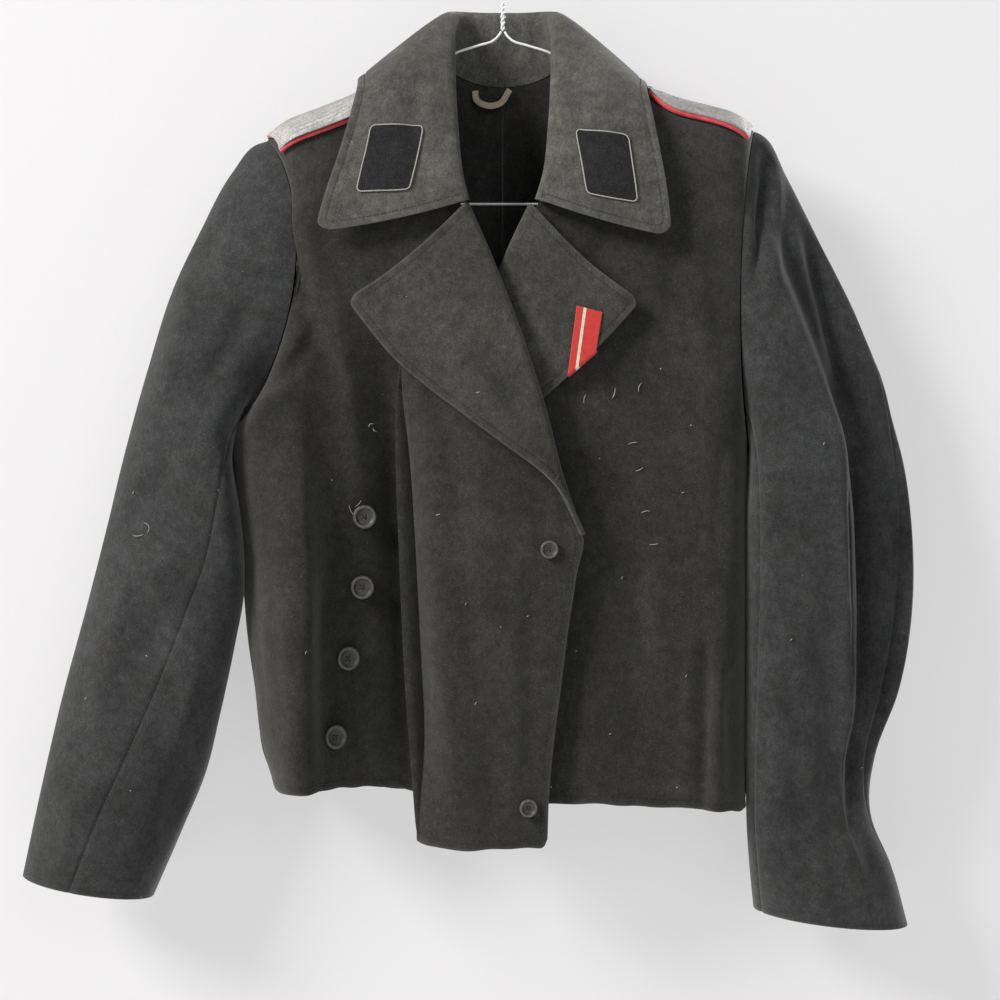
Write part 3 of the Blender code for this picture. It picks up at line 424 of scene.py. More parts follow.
def finished(made, colour, height=None, strength=0.5, distance=0.0003, **inputs):
    """The material with its Principled shader fed: a colour, a bump of the height if there is one, and other
    inputs, each a value or a socket, whose names are written with _ for a space."""
    tree = made.node_tree
    if height is not None:
        bump = add_node(tree, "Bump", {"Strength": strength, "Distance": distance, "Height": height})
        inputs["Normal"] = bump.outputs[0]
    named = {key.replace("_", " "): value for key, value in inputs.items()}
    feed(tree, tree.nodes["Principled BSDF"], {"Base Color": colour, **named})
    return made


def shader_group(name, inputs, outputs):
    """An empty shader group with named sockets, and its two end nodes."""
    group = bpy.data.node_groups.new(name, "ShaderNodeTree")
    for key, kind, value in inputs:
        group.interface.new_socket(name=key, in_out="INPUT", socket_type=kind).default_value = value
    for key, kind in outputs:
        group.interface.new_socket(name=key, in_out="OUTPUT", socket_type=kind)
    return group, group.nodes.new("NodeGroupInput").outputs, group.nodes.new("NodeGroupOutput").inputs


# Layers of the wool: fibres, streaks, clumps and clouds. Noise scale, detail, roughness, stretch along z, the
# noise's range, the tones it is carried to, and its share of the height
WOOL_LAYERS = (
    (1050, 2, 0.7, 1.0, 0.28, 0.72, 0.52, 1.54, 0.5), (300, 4, 0.7, 0.62, 0.3, 0.7, 0.72, 1.34, 0.55),
    (95, 3, 0.6, 1.0, 0.3, 0.7, 0.72, 1.30, 0.6), (17, 2, 0.5, 1.0, 0.32, 0.68, 0.78, 1.22, 0.0),
)
WARM_TINT, PALE_FIBRE = (1.10, 1.0, 0.88, 1), (0.125, 0.123, 0.115, 1)
LINT, LINT_CELLS, WORN_FELT = (0.42, 0.41, 0.38, 1), 34.0, (0.085, 0.084, 0.076, 1)


def felted_wool():
    """Melange of dark and pale fibres, pressed flat and soft: clouds of tone, short fibres, sparse lint."""
    group, given, wanted = shader_group(
        "felted_wool",
        (("Colour", "NodeSocketColor", (0.08, 0.08, 0.075, 1)), ("Worn", "NodeSocketFloat", 0.0)),
        (("Colour", "NodeSocketColor"), ("Height", "NodeSocketFloat")))
    where = object_place(group)
    tone, height = 1.0, 0.0
    for scale, detail, rough, stretch, low, high, dark, light, share in WOOL_LAYERS:
        drawn = add_node(group, "Mapping", {"Vector": where, "Scale": (1, 1, stretch)}).outputs[0]
        layer = noise(group, drawn, scale, detail, rough)
        tone = sums(group, "MULTIPLY", tone, between(group, layer, low, high, dark, light))
        height = sums(group, "ADD", height, sums(group, "MULTIPLY", layer, share))
    colour = times(group, given["Colour"], tone)
    warm = between(group, noise(group, where, 46, 3, 0.6), 0.42, 0.68, 0.0, 0.5)
    colour = blend(group, warm, colour, times(group, colour, WARM_TINT))
    pale = between(group, noise(group, where, 1500, 1, 0.5), 0.66, 0.76, 0.0, 0.7)
    colour = blend(group, pale, colour, PALE_FIBRE)
    cells = add_node(group, "TexVoronoi", {"Vector": where, "Scale": LINT_CELLS})
    lint = between(group, cells.outputs["Distance"], 0.012, 0.024, 0.75, 0.0)
    colour = blend(group, lint, colour, LINT)
    group.links.new(blend(group, given["Worn"], colour, WORN_FELT), wanted["Colour"])
    group.links.new(height, wanted["Height"])
    return group


WOOL = felted_wool()
WORN_RIM, STITCH_INSET = 2.6, 6.2


def wool(name, colour):
    """Dull felt with a soft fuzz, paler along its cut edges, and with painted shade in the channel of the
    stitching.
    """
    made, tree = new_material(name)
    rim = add_node(tree, "Attribute", attribute_name="rim").outputs["Fac"]
    worn = between(tree, rim, WORN_RIM * 0.2, WORN_RIM, 0.32, 0.0)
    felt = add_node(tree, "Group", node_tree=WOOL)
    feed(tree, felt, {"Colour": (*colour, 1), "Worn": worn})
    apart = sums(tree, "ABSOLUTE", sums(tree, "SUBTRACT", rim, STITCH_INSET))
    # Painted shade: the wool is painted darker along the sunk channel of the stitching.
    channel_shade = between(tree, apart, 0.1, 1.3, 0.72, 1.0)
    return finished(made, times(tree, felt.outputs["Colour"], channel_shade), felt.outputs["Height"], 0.75, 0.0007,
                    Roughness=0.95, Specular_IOR_Level=0.15, Sheen_Weight=0.22, Sheen_Roughness=0.55,
                    Sheen_Tint=(0.80, 0.80, 0.77, 1))


FAR_FROM_EDGE = 60.0
# The channel of stitches: its depth in one layer and in two, its half width, and the padded rim outside it as
# shares of the depth and of the inset, with its half width
CHANNEL_DEPTH, FACED_CHANNEL_DEPTH, CHANNEL_WIDTH = 0.5, 0.85, 1.3
PAD_SHARE, PAD_PLACE, PAD_WIDTH = 0.5, 0.45, 2.0
# The wavy hem: rows over which it fades, the phase a millimetre makes in x and y, the height, and each wave's
# frequency, start and share
HEM_ROWS, HEM_RUN, HEM_HEIGHT = 14, (0.031, 0.045), 1.5
HEM_WAVES = ((2.0, 1.3, 0.55), (5.3, 0.0, 0.3))


def from_border(points, border):
    """Distance of each point from the nearest point of a border line, and that point's number."""
    flat = points.reshape(-1, 3)
    square = (flat ** 2).sum(1)[:, None] + (border ** 2).sum(1)[None] - 2 * flat @ border.T
    nearest = square.argmin(1)
    distance = np.sqrt(np.take_along_axis(square, nearest[:, None], 1).clip(0))
    return distance.reshape(points.shape[:-1]), nearest.reshape(points.shape[:-1])


def channelled(grid, normals, border, depth=CHANNEL_DEPTH):
    """The grid with the shallow channel of a row of stitches inside its border, and the distance to it."""
    rim, _ = from_border(grid, border)
    padded = depth * PAD_SHARE * np.exp(-((rim - STITCH_INSET * PAD_PLACE) / PAD_WIDTH) ** 2)
    sunk = depth * np.exp(-((rim - STITCH_INSET) / CHANNEL_WIDTH) ** 2)
    return grid + normals * (padded - sunk)[..., None], rim.clip(0, FAR_FROM_EDGE)


def uneven(grid):
    """The grid with a slightly wavy lower edge: two waves along it, of unequal length, that fade upwards."""
    fade = ((np.arange(len(grid)) - len(grid) + 1 + HEM_ROWS) / HEM_ROWS).clip(0)[:, None] ** 2
    run = grid[..., 0] * HEM_RUN[0] + grid[..., 1] * HEM_RUN[1]
    wave = HEM_HEIGHT * sum(np.sin(run * often + start) * share for often, start, share in HEM_WAVES)
    return grid + xyz(0, 0, wave * fade)


def towards(grid, rows, columns, way):
    """A hint for normals_of: the way that the cloth faces in some of a grid's rows and columns."""
    facing = np.zeros_like(grid)
    facing[rows, columns] = way
    return facing


front_wool = wool("front_wool", (0.0185, 0.0182, 0.0171))
front_tables = {side: front_panel(side) for side in (RIGHT, LEFT)}
fronts, front_borders = {}, {}
HEM_CORNERS, CHEST_COLUMNS = {RIGHT: ((True, True, 1.3, 2.6),), LEFT: ()}, slice(20, 50)
OUT_FRONT = np.array([0.0, -1.0, 0.0])
for side in (RIGHT, LEFT):
    grid = rounded(fine(front_tables[side], FINE_DOWN, FINE_ACROSS), HEM_CORNERS[side])
    facing = towards(grid, slice(grid.shape[0] // 2), CHEST_COLUMNS, OUT_FRONT)
    grid = creased(grid, normals_of(grid, facing), FRONT_CREASES[side], -1)
    first = (len(EDGE_ROWS[side]) - 1) * FINE_DOWN        # the front's own edge shows from here down
    border = np.vstack([grid[first:, -1], grid[-1, ::-1]])
    grid, rim = channelled(grid, normals_of(grid, facing), border)
    grid = uneven(grid)
    fronts[side], front_borders[side] = grid, border
    piece = cloth(f"cloth_front_{side}", grid, facing, CLOTH_WALL, front_wool, {"rim": rim})
    dress(piece, "wool", f"front_{side}")

# ------------------------------------------------------------------------------------------------
# Backs
# The back is cut in two halves of the same wool, joined by the seam down its middle, and hangs almost
# plain, with soft folds that fall from the shoulder blades and gather towards the waist.
# ------------------------------------------------------------------------------------------------
BACK_SECTIONS = ((-340, (168, 36), (70, 33)), (-500, (168, 40), (80, 30)), (-730, (164, 44), (90, 31)))
BACK_COLUMNS, BACK_HEM_SHARE, BACK_PLAIN_DEPTH = (3, 3), (0.3, 0.8), 34
BACK_EDGE = ((55, 0, -101), (54, 5, -101.8), (50, 13, -105), (40, 23, -110), (22, 31, -115), (0, 33, -117),
             (0, 34, -150), (0, 35, -190), (0, 35, -232), (0, 34, -275), (0, 33, -318), (0, 32, -360),
             (0, 32, -395), (0, 32, -415), (0, 32, -428))
BACK_NECK_CORNER = 5
BACK_LOWER_ROWS = ((-445, -452), (-480, -485), (-520, -524), (-562, -565), (-604, -606), (-646, -646),
                   (-688, -687), (None, -728))
BACK_CREASES = {
    RIGHT: ((-150, -190, -88, -420, -14, 16, 5.8), (-120, -220, -60, -470, 10, 14, -6.2),
            (-196, -400, -120, -520, 8, 11, -5.8), (-60, -430, -38, -700, -6, 13, 5.3),
            (-120, -470, -104, -724, 9, 12, -5.3), (-168, -520, -158, -712, -5, 9, 4.3),
            (-26, -160, -20, -380, 4, 10, -3.4)),
    LEFT: ((158, -185, 84, -400, 12, 17, 5.3), (110, -240, 70, -500, -9, 13, -6.7),
           (186, -415, 108, -500, -7, 10, -5.1), (46, -400, 62, -716, 7, 14, 4.8),
           (112, -510, 124, -700, -8, 11, -5.8), (160, -560, 152, -728, 4, 8, 3.5),
           (24, -150, 30, -330, -5, 11, -3.8)),
}
BACK_FINE_ACROSS, CENTRE_SEAM_DEPTH, CENTRE_SEAM_WIDTH = 7, 1.5, 2.4
SEAM_ROUND_EDGE = 0.2        # rims that meet at a seam are rounded less


def back_panel(side):
    """Table grid of one half of the back, from armhole and side to the neckline and the centre seam."""
    lower = np.array([(LOWER_ROWS[side][-1][0] if a is None else a, b) for a, b in BACK_LOWER_ROWS], float)
    start = np.vstack([armhole(side, ARM_ANGLES, back=True), side_seam(side, lower[:, 0])])
    edge = np.array(BACK_EDGE, float)
    centre = xyz(0, edge[-1, 1], lower[:, 1])
    end = np.vstack([edge, centre])
    end[:, 0] *= SIGN[side]
    stations = by_height(BACK_SECTIONS, start[:, 2]).reshape(len(start), -1, 2) * (SIGN[side], 1)
    return panel(side, start, end, stations, BACK_HEM_SHARE, BACK_COLUMNS, BACK_PLAIN_DEPTH, 1)


back_tables = {side: back_panel(side) for side in (RIGHT, LEFT)}
backs = {}
for side in (RIGHT, LEFT):
    grid = fine(back_tables[side], FINE_DOWN, BACK_FINE_ACROSS)
    facing = -OUT_FRONT
    grid = creased(grid, normals_of(grid, facing), BACK_CREASES[side], 1)
    centre_seam = grid[BACK_NECK_CORNER * FINE_DOWN:, -1]
    sunk = CENTRE_SEAM_DEPTH * np.exp(-(from_border(grid, centre_seam)[0] / CENTRE_SEAM_WIDTH) ** 2)
    grid = grid - normals_of(grid, facing) * sunk[..., None]
    grid, rim = channelled(grid, normals_of(grid, facing), grid[-1])
    grid[BACK_NECK_CORNER * FINE_DOWN:, -1, 0] = 0
    grid = uneven(grid)
    backs[side] = grid
    piece = cloth(f"cloth_back_{side}", grid, facing, CLOTH_WALL, front_wool, {"rim": rim}, SEAM_ROUND_EDGE)
    dress(piece, "wool", f"back_{side}")

# ------------------------------------------------------------------------------------------------
# Sleeves
# Each sleeve is a tube of two cut pieces of the same wool, a wide top sleeve and a narrow under sleeve,
# set into the armhole. They hang loose, and the left one is pressed into a front and a back lobe.
# ------------------------------------------------------------------------------------------------
# Rows: outer x, outer z, inner x, inner z, depth in front, depth behind, angle of the front and of the hind
# seam, share of the front's depth lost beyond the lobe's crease, and the crease's angle
SLEEVES = {
    RIGHT: ((-209, -174, -237, -421, 39, 35, 145, -56, 0, 70),
            (-230, -198, -230.5, -431, 41, 36, 143, -56, 0, 70),
            (-256, -246, -226.5, -450, 44, 38, 138, -55, 0, 70),
            (-279, -296, -220.3, -478, 46, 39, 132, -54, 0, 70),
            (-301, -366, -216, -512, 46, 40, 125, -52, 0, 70),
            (-321, -438, -216, -553, 45, 40, 119, -50, 0, 70),
            (-336, -500, -225, -597, 43, 40, 112, -48, 0, 70),
            (-354, -570, -239, -657, 41, 39, 104, -46, 0, 70),
            (-373, -640, -252, -707, 39, 37, 96, -44, 0, 70),
            (-392, -722, -273, -757, 37, 35, 88, -42, 0, 70),
            (-407, -793, -297, -812, 35, 33, 82, -40, 0, 70)),
    LEFT: ((220, -166, 209, -428, 40, 35, 145, -56, 0.15, 70),
           (240, -200, 207, -440, 42, 38, 145, -50, 0.35, 70),
           (262, -243, 205.2, -458, 44, 42, 146, -40, 0.50, 72),
           (291, -300, 203.4, -482, 45, 45, 148, -20, 0.60, 74),
           (318, -362, 203, -512, 46, 47, 150, 5, 0.68, 74),
           (336, -428, 203, -547, 46, 48, 152, 22, 0.68, 75),
           (346, -502, 203, -587, 46, 48, 154, 30, 0.70, 78),
           (346, -572, 202.8, -627, 45, 46, 155, 38, 0.66, 77),
           (335, -636, 202, -667, 44, 42, 156, 42, 0.55, 72),
           (315, -692, 202.5, -707, 42, 38, 157, 35, 0.30, 64),
           (312, -742, 204, -750, 41, 36, 158, 20, 0.10, 60),
           (330, -787, 208, -788, 41, 36, 159, 8, 0.0, 62),
           (343, -835, 213, -822, 41, 36, 160, 0, 0.0, 66)),
}
FRONT_SEAM_ANGLE, CREASE_ANGLE, HIND_SEAM_ANGLE, CREASE_STEP = 145, 70, -56, 6.0
SLEEVE_START_GAP, BOW_ROWS = 0.6, 4
# How far the inner line of each row hangs forward, beside the body
INNER_FORWARD = {RIGHT: (0, 8, 17, 26, 30, 26, 17, 8, 2, 0, 0), LEFT: (0, 10, 20) + (26,) * 7 + (22, 12, 0)}
SLEEVE_CREASES = {
    RIGHT: ((-214, -215, -262, -330, -8, 12, -3.4), (-252, -260, -300, -420, 9, 13, 3.7),
            (-205, -300, -262, -400, 7, 10, -4.1), (-196, -372, -250, -440, -6, 9, 3.4),
            (-262, -430, -330, -505, 7, 12, -3.7), (-240, -500, -300, -560, -7, 11, 3.1),
            (-268, -560, -342, -640, 8, 13, -3.1), (-300, -520, -335, -690, -9, 14, 3.4),
            (-262, -650, -288, -780, 5, 9, -3.7), (-330, -690, -372, -800, -6, 12, 2.9),
            (-250, -600, -268, -700, -4, 8, 2.4)),
    LEFT: ((221, -174, 204, -306, 3, 4.5, -8), (231, -178, 217, -330, 2, 7, 4.5),
           (216, -300, 262, -420, 8, 11, -3.1), (236, -380, 290, -480, -9, 13, 3.1),
           (214, -470, 282, -560, 7, 12, -3.7), (224, -570, 286, -660, -6, 12, 3.4),
           (214, -640, 296, -705, 6, 10, -3.4), (302, -330, 330, -480, -7, 9, 3.4),
           (326, -470, 330, -600, 5, 7, -3.1), (222, -700, 300, -760, -7, 11, -3.4),
           (214, -560, 226, -770, 3, 12, 4), (256, -560, 280, -770, 5, 17, -6.5),
           (238, -230, 278, -400, 2, 7, 4), (279, -400, 290, -640, -2, 7, 4),
           (253, -240, 291, -420, 3, 9, -12), (292, -405, 300, -660, -2, 10, -13),
           (250, -740, 262, -826, 4, 9, 3.1), (300, -740, 322, -826, -4, 8, -2.7)),
}
SLEEVE_BACK_CREASES = {
    RIGHT: ((-230, -230, -280, -400, 8, 13, -3.8), (-214, -380, -290, -470, -8, 11, 3.5),
            (-262, -470, -330, -560, 9, 12, -4.2), (-280, -560, -352, -650, -7, 12, 3.2),
            (-300, -640, -340, -790, 6, 11, -3)),
    LEFT: ((236, -230, 290, -400, -8, 13, -3.8), (220, -400, 300, -500, 7, 12, 3.8),
           (228, -500, 326, -560, -8, 12, -4.2), (226, -600, 318, -680, 8, 13, 3.2),
           (240, -690, 290, -810, -6, 11, -3.2)),
}


def sleeve_tube(side):
    """Table grid of a whole sleeve: each row an oval from its outer to its inner line, whose front steps back
    beyond the lobe's crease. The first row is the armhole, and its bow fades over the next rows."""
    angles = np.array(sorted(ARM_ANGLES + tuple(-a for a in ARM_ANGLES[1:-1])), float)
    hole, sign = ARMHOLES[side], SIGN[side]
    low = np.sin(np.radians((abs(angles) - 90).clip(0)))
    start = np.where((angles >= 0)[:, None], armhole(side, abs(angles)),
                     armhole(side, abs(angles), back=True))
    rows = [start + SLEEVE_START_GAP * xyz(sign * (1 + 2 * low), 0, -low)]
    for number, (x0, z0, x1, z1, front, back, seam, hind, loss, crease) in enumerate(SLEEVES[side]):
        turned = np.where(angles >= HIND_SEAM_ANGLE, angles, angles + 360)
        known = (HIND_SEAM_ANGLE, CREASE_ANGLE, FRONT_SEAM_ANGLE, HIND_SEAM_ANGLE + 360)
        warped = np.interp(turned, known, (hind, crease, seam, hind + 360))
        down, across = (1 - np.cos(np.radians(warped))) / 2, np.sin(np.radians(warped))
        beyond = ((crease - warped) / CREASE_STEP).clip(0, 1)
        step = 1 - loss * eased(beyond)
        depth = np.where(across > 0, -front * across * step, -back * across)
        bow = np.where(across > 0, hole["front_bow"], hole["back_bow"]) * abs(across) ** BOW_POWER
        fade = max(1 - number / BOW_ROWS, 0) ** 2
        depth = depth - INNER_FORWARD[side][number] * down ** 3
        rows.append(xyz(x0 + (x1 - x0) * down - sign * bow * fade, depth, z0 + (z1 - z0) * down))
    return np.array(rows), angles.tolist()


SLEEVE_FINE_DOWN, SLEEVE_FINE_ACROSS, WRAPPED_COLUMNS, SEAM_SINK_WIDTH = 9, 5, 3, 1.7
CUFF_CLEAR, CUFF_MOVED = 2.0, 3.0        # keeps the cuff's rim off the stitch channel's distance
sleeve_wool = wool("sleeve_wool", (0.0250, 0.0257, 0.0268))
sleeves = {}
for side in (RIGHT, LEFT):
    tube, angles = sleeve_tube(side)
    count, across, pad = len(angles), SLEEVE_FINE_ACROSS, WRAPPED_COLUMNS
    wrapped = tube[:, np.arange(-pad, 2 * count) % count]
    grid = fine(wrapped, SLEEVE_FINE_DOWN, across)
    outward = grid - grid[:, pad * across:(pad + count) * across].mean(axis=1)[:, None]
    normals = normals_of(grid, outward)
    grid = creased(grid, normals, SLEEVE_CREASES[side], -1)
    grid = creased(grid, normals, SLEEVE_BACK_CREASES[side], 1)
    hind, seam = (angles.index(a) for a in (HIND_SEAM_ANGLE, FRONT_SEAM_ANGLE))
    seam_columns = [(pad + column) * across for column in (hind, seam, hind + count)]
    sunk = sum(np.exp(-(from_border(grid, grid[:, column])[0] / SEAM_SINK_WIDTH) ** 2)
               for column in seam_columns)
    grid = grid - normals * sunk.clip(0, 1)[..., None]
    spans = {"top": seam_columns[:2], "under": seam_columns[1:]}
    for part, (first, last) in spans.items():
        columns = slice(first, last + 1)
        piece_grid = grid[:, columns]
        rim = from_border(piece_grid, piece_grid[-1])[0].clip(0, FAR_FROM_EDGE)
        rim = np.where(abs(rim - STITCH_INSET) < CUFF_CLEAR, STITCH_INSET + CUFF_MOVED, rim)
        sleeves[side, part] = piece_grid
        piece = cloth(f"cloth_sleeve_{part}_{side}", piece_grid, outward[:, columns], CLOTH_WALL,
                      sleeve_wool, {"rim": rim}, SEAM_ROUND_EDGE)
        dress(piece, "wool", f"sleeve_{part}_{side}")

# ------------------------------------------------------------------------------------------------
# Collar
# One wide collar of two layers of wool, sewn to the neckline: it stands up inside the neck, rolls over
# and falls as a broad leaf that ends in two rounded points, with a row of stitches along its edge.
# ------------------------------------------------------------------------------------------------
FACED_WALL, LAYER_GAP, FACED_ROUND_EDGE = 2.6, 0.1, 0.46
GORGE_HEIGHT, COLLAR_END_SHARE, COLLAR_END_BOW = -237, 0.8, -5.0
STAND_COLUMNS, LEAF_COLUMNS, LEAF_BULGE, ROLL_HANDLE = 5, 8, 7.0, 9.0
# From the centre back to the front end: share of the neckline, then the roll and the leaf's edge, each as
# distance from the middle, y and height, and how much the right leaf's edge differs in x and height
COLLAR_SECTIONS = (
    (0.00, (0, 24, -57), (0, 52, -134), (0, 0)), (0.14, (26, 23, -57), (50, 50, -136), (0, 0)),
    (0.24, (41, 14, -59), (90, 42, -134), (0, 2)), (0.31, (45, -3, -66), (113, 8, -125), (1, 3)),
    (0.45, (44, -24, -101), (118, -36, -140), (1, 5)), (0.63, (41, -43, -152), (125, -53, -178), (2, 4)),
    (0.82, (38, -53, -203), (132, -56, -215), (9, 0)), (1.00, (31, -57, -233), (137, -57, -262), (16, 4)),
)
COLLAR_CREASES = ((-98, -108, -86, -190, 5, 10, 1.4), (-70, -118, -66, -236, -4, 9, -1.6),
                  (84, -110, 92, -205, -6, 11, 1.6), (118, -150, 120, -250, 3, 9, -1.4),
                  (58, -120, 62, -224, 4, 8, -1.3), (-118, -190, -100, -245, 5, 9, 1.3))
# Ripples of the stand at the back of the neck: place across, half width, depth
STAND_RIPPLES = ((-24, 5, 1.8), (-9, 7, -1.0), (13, 8, 1.0), (29, 6, 2.0), (40, 5, -0.9), (-38, 5, -0.8))
COLLAR_FINE_DOWN, COLLAR_FINE_ACROSS = 9, 7
COLLAR_CORNERS = ((False, True, 3, 5), (True, True, 3, 5))
# Columns on each side of the roll that face up, first column of the leaf's own edge beyond the roll, and the
# depth behind the neck over which the ripples grow
ROLL_BAND, LEAF_EDGE_START, RIPPLE_GROWTH = 3, 6, 16


def bezier(p0, p1, p2, p3, count):
    """count + 1 points of cubic Bezier curves, for whole arrays of control points."""
    t = np.linspace(0, 1, count + 1)[:, None]
    p0, p1, p2, p3 = (p[:, None] for p in (p0, p1, p2, p3))
    return (1 - t) ** 3 * p0 + 3 * t * (1 - t) ** 2 * p1 + 3 * t * t * (1 - t) * p2 + t ** 3 * p3


def collar_half(side):
    """Sections of one half, from the centre back to the front end: up the stand from the neckline, over the
    roll and down the leaf, as two Bezier curves that meet at the roll in one direction."""
    last = EDGE_ROWS[side].index(GORGE_HEIGHT)
    front = front_tables[side][:last + 1, -1].copy()
    front[-1] = front[-2] + (front[-1] - front[-2]) * COLLAR_END_SHARE
    neck = np.vstack([back_tables[side][1:BACK_NECK_CORNER + 1, -1][::-1], front])
    length = np.concatenate([[0], np.linalg.norm(np.diff(neck, axis=0), axis=1).cumsum()])
    share = length / length[-1]
    table = flat_rows(COLLAR_SECTIONS)
    place = hermite(table[:, 0], table[:, 1:], share)
    roll, edge = place[:, 0:3].copy(), place[:, 3:6].copy()
    if side == RIGHT:
        edge[:, [0, 2]] += place[:, 6:]
    roll[:, 0] *= SIGN[side]
    edge[:, 0] *= SIGN[side]
    up = unit(roll - neck)
    over = edge - roll
    over = unit(over - up * (over * up).sum(1, keepdims=True))
    handle = np.minimum(ROLL_HANDLE, 0.45 * np.linalg.norm(roll - neck, axis=1))[:, None]
    start = neck + up * 2 * SEAM_GAP
    stand = bezier(start, start + (roll - start) * 0.5, roll - over * handle, roll, STAND_COLUMNS)
    outward = unit(np.cross(np.cross(over, up), edge - roll))
    middle = (roll + edge) / 2 + outward * LEAF_BULGE + xyz(0, 0, COLLAR_END_BOW * share ** 4)
    leaf = bezier(roll, roll + over * handle, middle, edge, LEAF_COLUMNS)
    return np.concatenate([stand, leaf[:, 1:]], 1)


table = np.vstack([collar_half(RIGHT)[::-1], collar_half(LEFT)[1:]])
grid = fine(table, COLLAR_FINE_DOWN, COLLAR_FINE_ACROSS)
roll_column = STAND_COLUMNS * COLLAR_FINE_ACROSS
up_here = towards(grid, slice(None), slice(roll_column - ROLL_BAND, roll_column + ROLL_BAND + 1), (0, 0, 1))
grid = rounded(grid + normals_of(grid, up_here) * FACED_WALL, COLLAR_CORNERS)
neck_side = grid[:, :roll_column]
ripple = sum(depth * np.exp(-((neck_side[..., 0] - x) / half) ** 2) for x, half, depth in STAND_RIPPLES)
height = np.linspace(0, 1, roll_column)
behind = (neck_side[..., 1] / RIPPLE_GROWTH).clip(0, 1)
grid[:, :roll_column, 1] += ripple * behind * (1 - height ** 3) * (height * 3).clip(0, 1)
grid[:, roll_column:] = creased(grid, normals_of(grid, up_here), COLLAR_CREASES, -1)[:, roll_column:]
leaf_start = roll_column + LEAF_EDGE_START
leaf_edge = np.vstack([grid[0, leaf_start:], grid[:, -1], grid[-1, :leaf_start:-1]])
grid[:, roll_column:], leaf_rim = channelled(
    grid[:, roll_column:], normals_of(grid, up_here)[:, roll_column:], leaf_edge, FACED_CHANNEL_DEPTH)
rim = np.hstack([np.full((len(grid), roll_column), FAR_FROM_EDGE), leaf_rim])
collar_grid = grid
# Painted light: the collar's wool is the fronts' wool painted about three times as light, as if more light
# fell on the top of the tunic.
lit_collar_wool = wool("lit_collar_wool", (0.0600, 0.0595, 0.0550))
collar = cloth("cloth_collar", grid, up_here, FACED_WALL - LAYER_GAP, lit_collar_wool, {"rim": rim},
               FACED_ROUND_EDGE)
dress(collar, "wool", "collar")

# ------------------------------------------------------------------------------------------------
# Lapels
# The upper ends of the two fronts turn over as lapels, faced with a second layer of the same wool. Each
# rolls at the front edge and lies on the chest, with a rounded point and a row of stitches inside its edge.
# ------------------------------------------------------------------------------------------------
ROLL_RADIUS, LAPEL_COLUMNS, LAPEL_TOP_BOW, LAPEL_HANDLE = 3.5, 9, -13.0, 6.0
LAPEL_TURN = np.radians((0, 35, 70, 105, 140, 180))
# The right lapel's tail, in its last rows: radius of the roll, and how far it sinks into the front
TAIL_RADII, TAIL_SUNK = (2.9, 2.0, 1.0), np.array([[0.0], [0.8], [2.5]])
TAIL = slice(-len(TAIL_RADII), None)
LAPEL_FINE_DOWN, LAPEL_FINE_ACROSS, LAPEL_CORNERS = 12, 6, ((False, True, 3.5, 4.5),)
# Height on the front edge, then x, depth and height of the lapel's own edge
LAPEL_EDGES = {
    RIGHT: ((-237, -128, 54, -312), (-305, -88, 62, -362), (-372, -38, 70, -403), (-424, 12, 73, -440),
            (-438, 24, 73, -448.5), (-462, 41.5, 71.5, -465), (-487, 54.5, 68.5, -488.5),
            (-503, 61.5, 63, -503.5)),
    LEFT: ((-237, 113, 51, -313), (-304, 72, 51, -357), (-370, 14, 50, -408), (-420, -30, 48, -434)),
}
LAPEL_CREASES = {
    RIGHT: ((-40, -250, -4, -330, 4, 9, 2.2), (-100, -300, -40, -330, -6, 11, -2.4),
            (-60, -350, 0, -400, 7, 12, 2.2), (-10, -330, 22, -420, -5, 9, -2.2)),
    LEFT: ((46, -250, 80, -300, 5, 10, -2.2), (10, -300, 50, -350, -4, 9, 2.2),
           (78, -270, 102, -318, 4, 8, 1.8)),
}


def lapel_table(side):
    """Sections across a lapel: a half turn round the front's edge, then a Bezier curve to its own edge."""
    edges = LAPEL_EDGES[side]
    start = front_tables[side][:, -1]
    start = start[(start[:, 2] <= edges[0][0] + 0.5) & (start[:, 2] >= edges[-1][0] - 0.5)]
    x, depth, z = by_height(edges, start[:, 2]).T
    edge = xyz(x, -depth, z)
    away = unit((start - edge) * (1, 0, 1))
    radius = np.full((len(start), 1), ROLL_RADIUS)
    if side == RIGHT:
        away[TAIL] = away[-len(TAIL_RADII) - 1]
        radius[TAIL, 0] = TAIL_RADII
    centre = start + away * SEAM_GAP + radius * (0, -1, 0)
    if side == RIGHT:
        centre[TAIL] += TAIL_SUNK * ((0, 1, 0) - away[TAIL])
    turn = centre[:, None] + radius[:, None] * (np.sin(LAPEL_TURN)[:, None] * away[:, None]
                                                + np.cos(LAPEL_TURN)[:, None] * np.array([0.0, 1.0, 0.0]))
    down = (edges[0][0] - start[:, 2]) / (edges[0][0] - edges[-1][0])
    middle = (turn[:, -1] + edge) / 2 + xyz(0, 0, LAPEL_TOP_BOW * (1 - down) ** 3)
    handle = np.minimum(LAPEL_HANDLE, 0.3 * np.linalg.norm(edge - turn[:, -1], axis=1))[:, None]
    leaf = bezier(turn[:, -1], turn[:, -1] - away * handle, middle, edge, LAPEL_COLUMNS)
    return np.concatenate([turn, leaf[:, 1:]], 1)
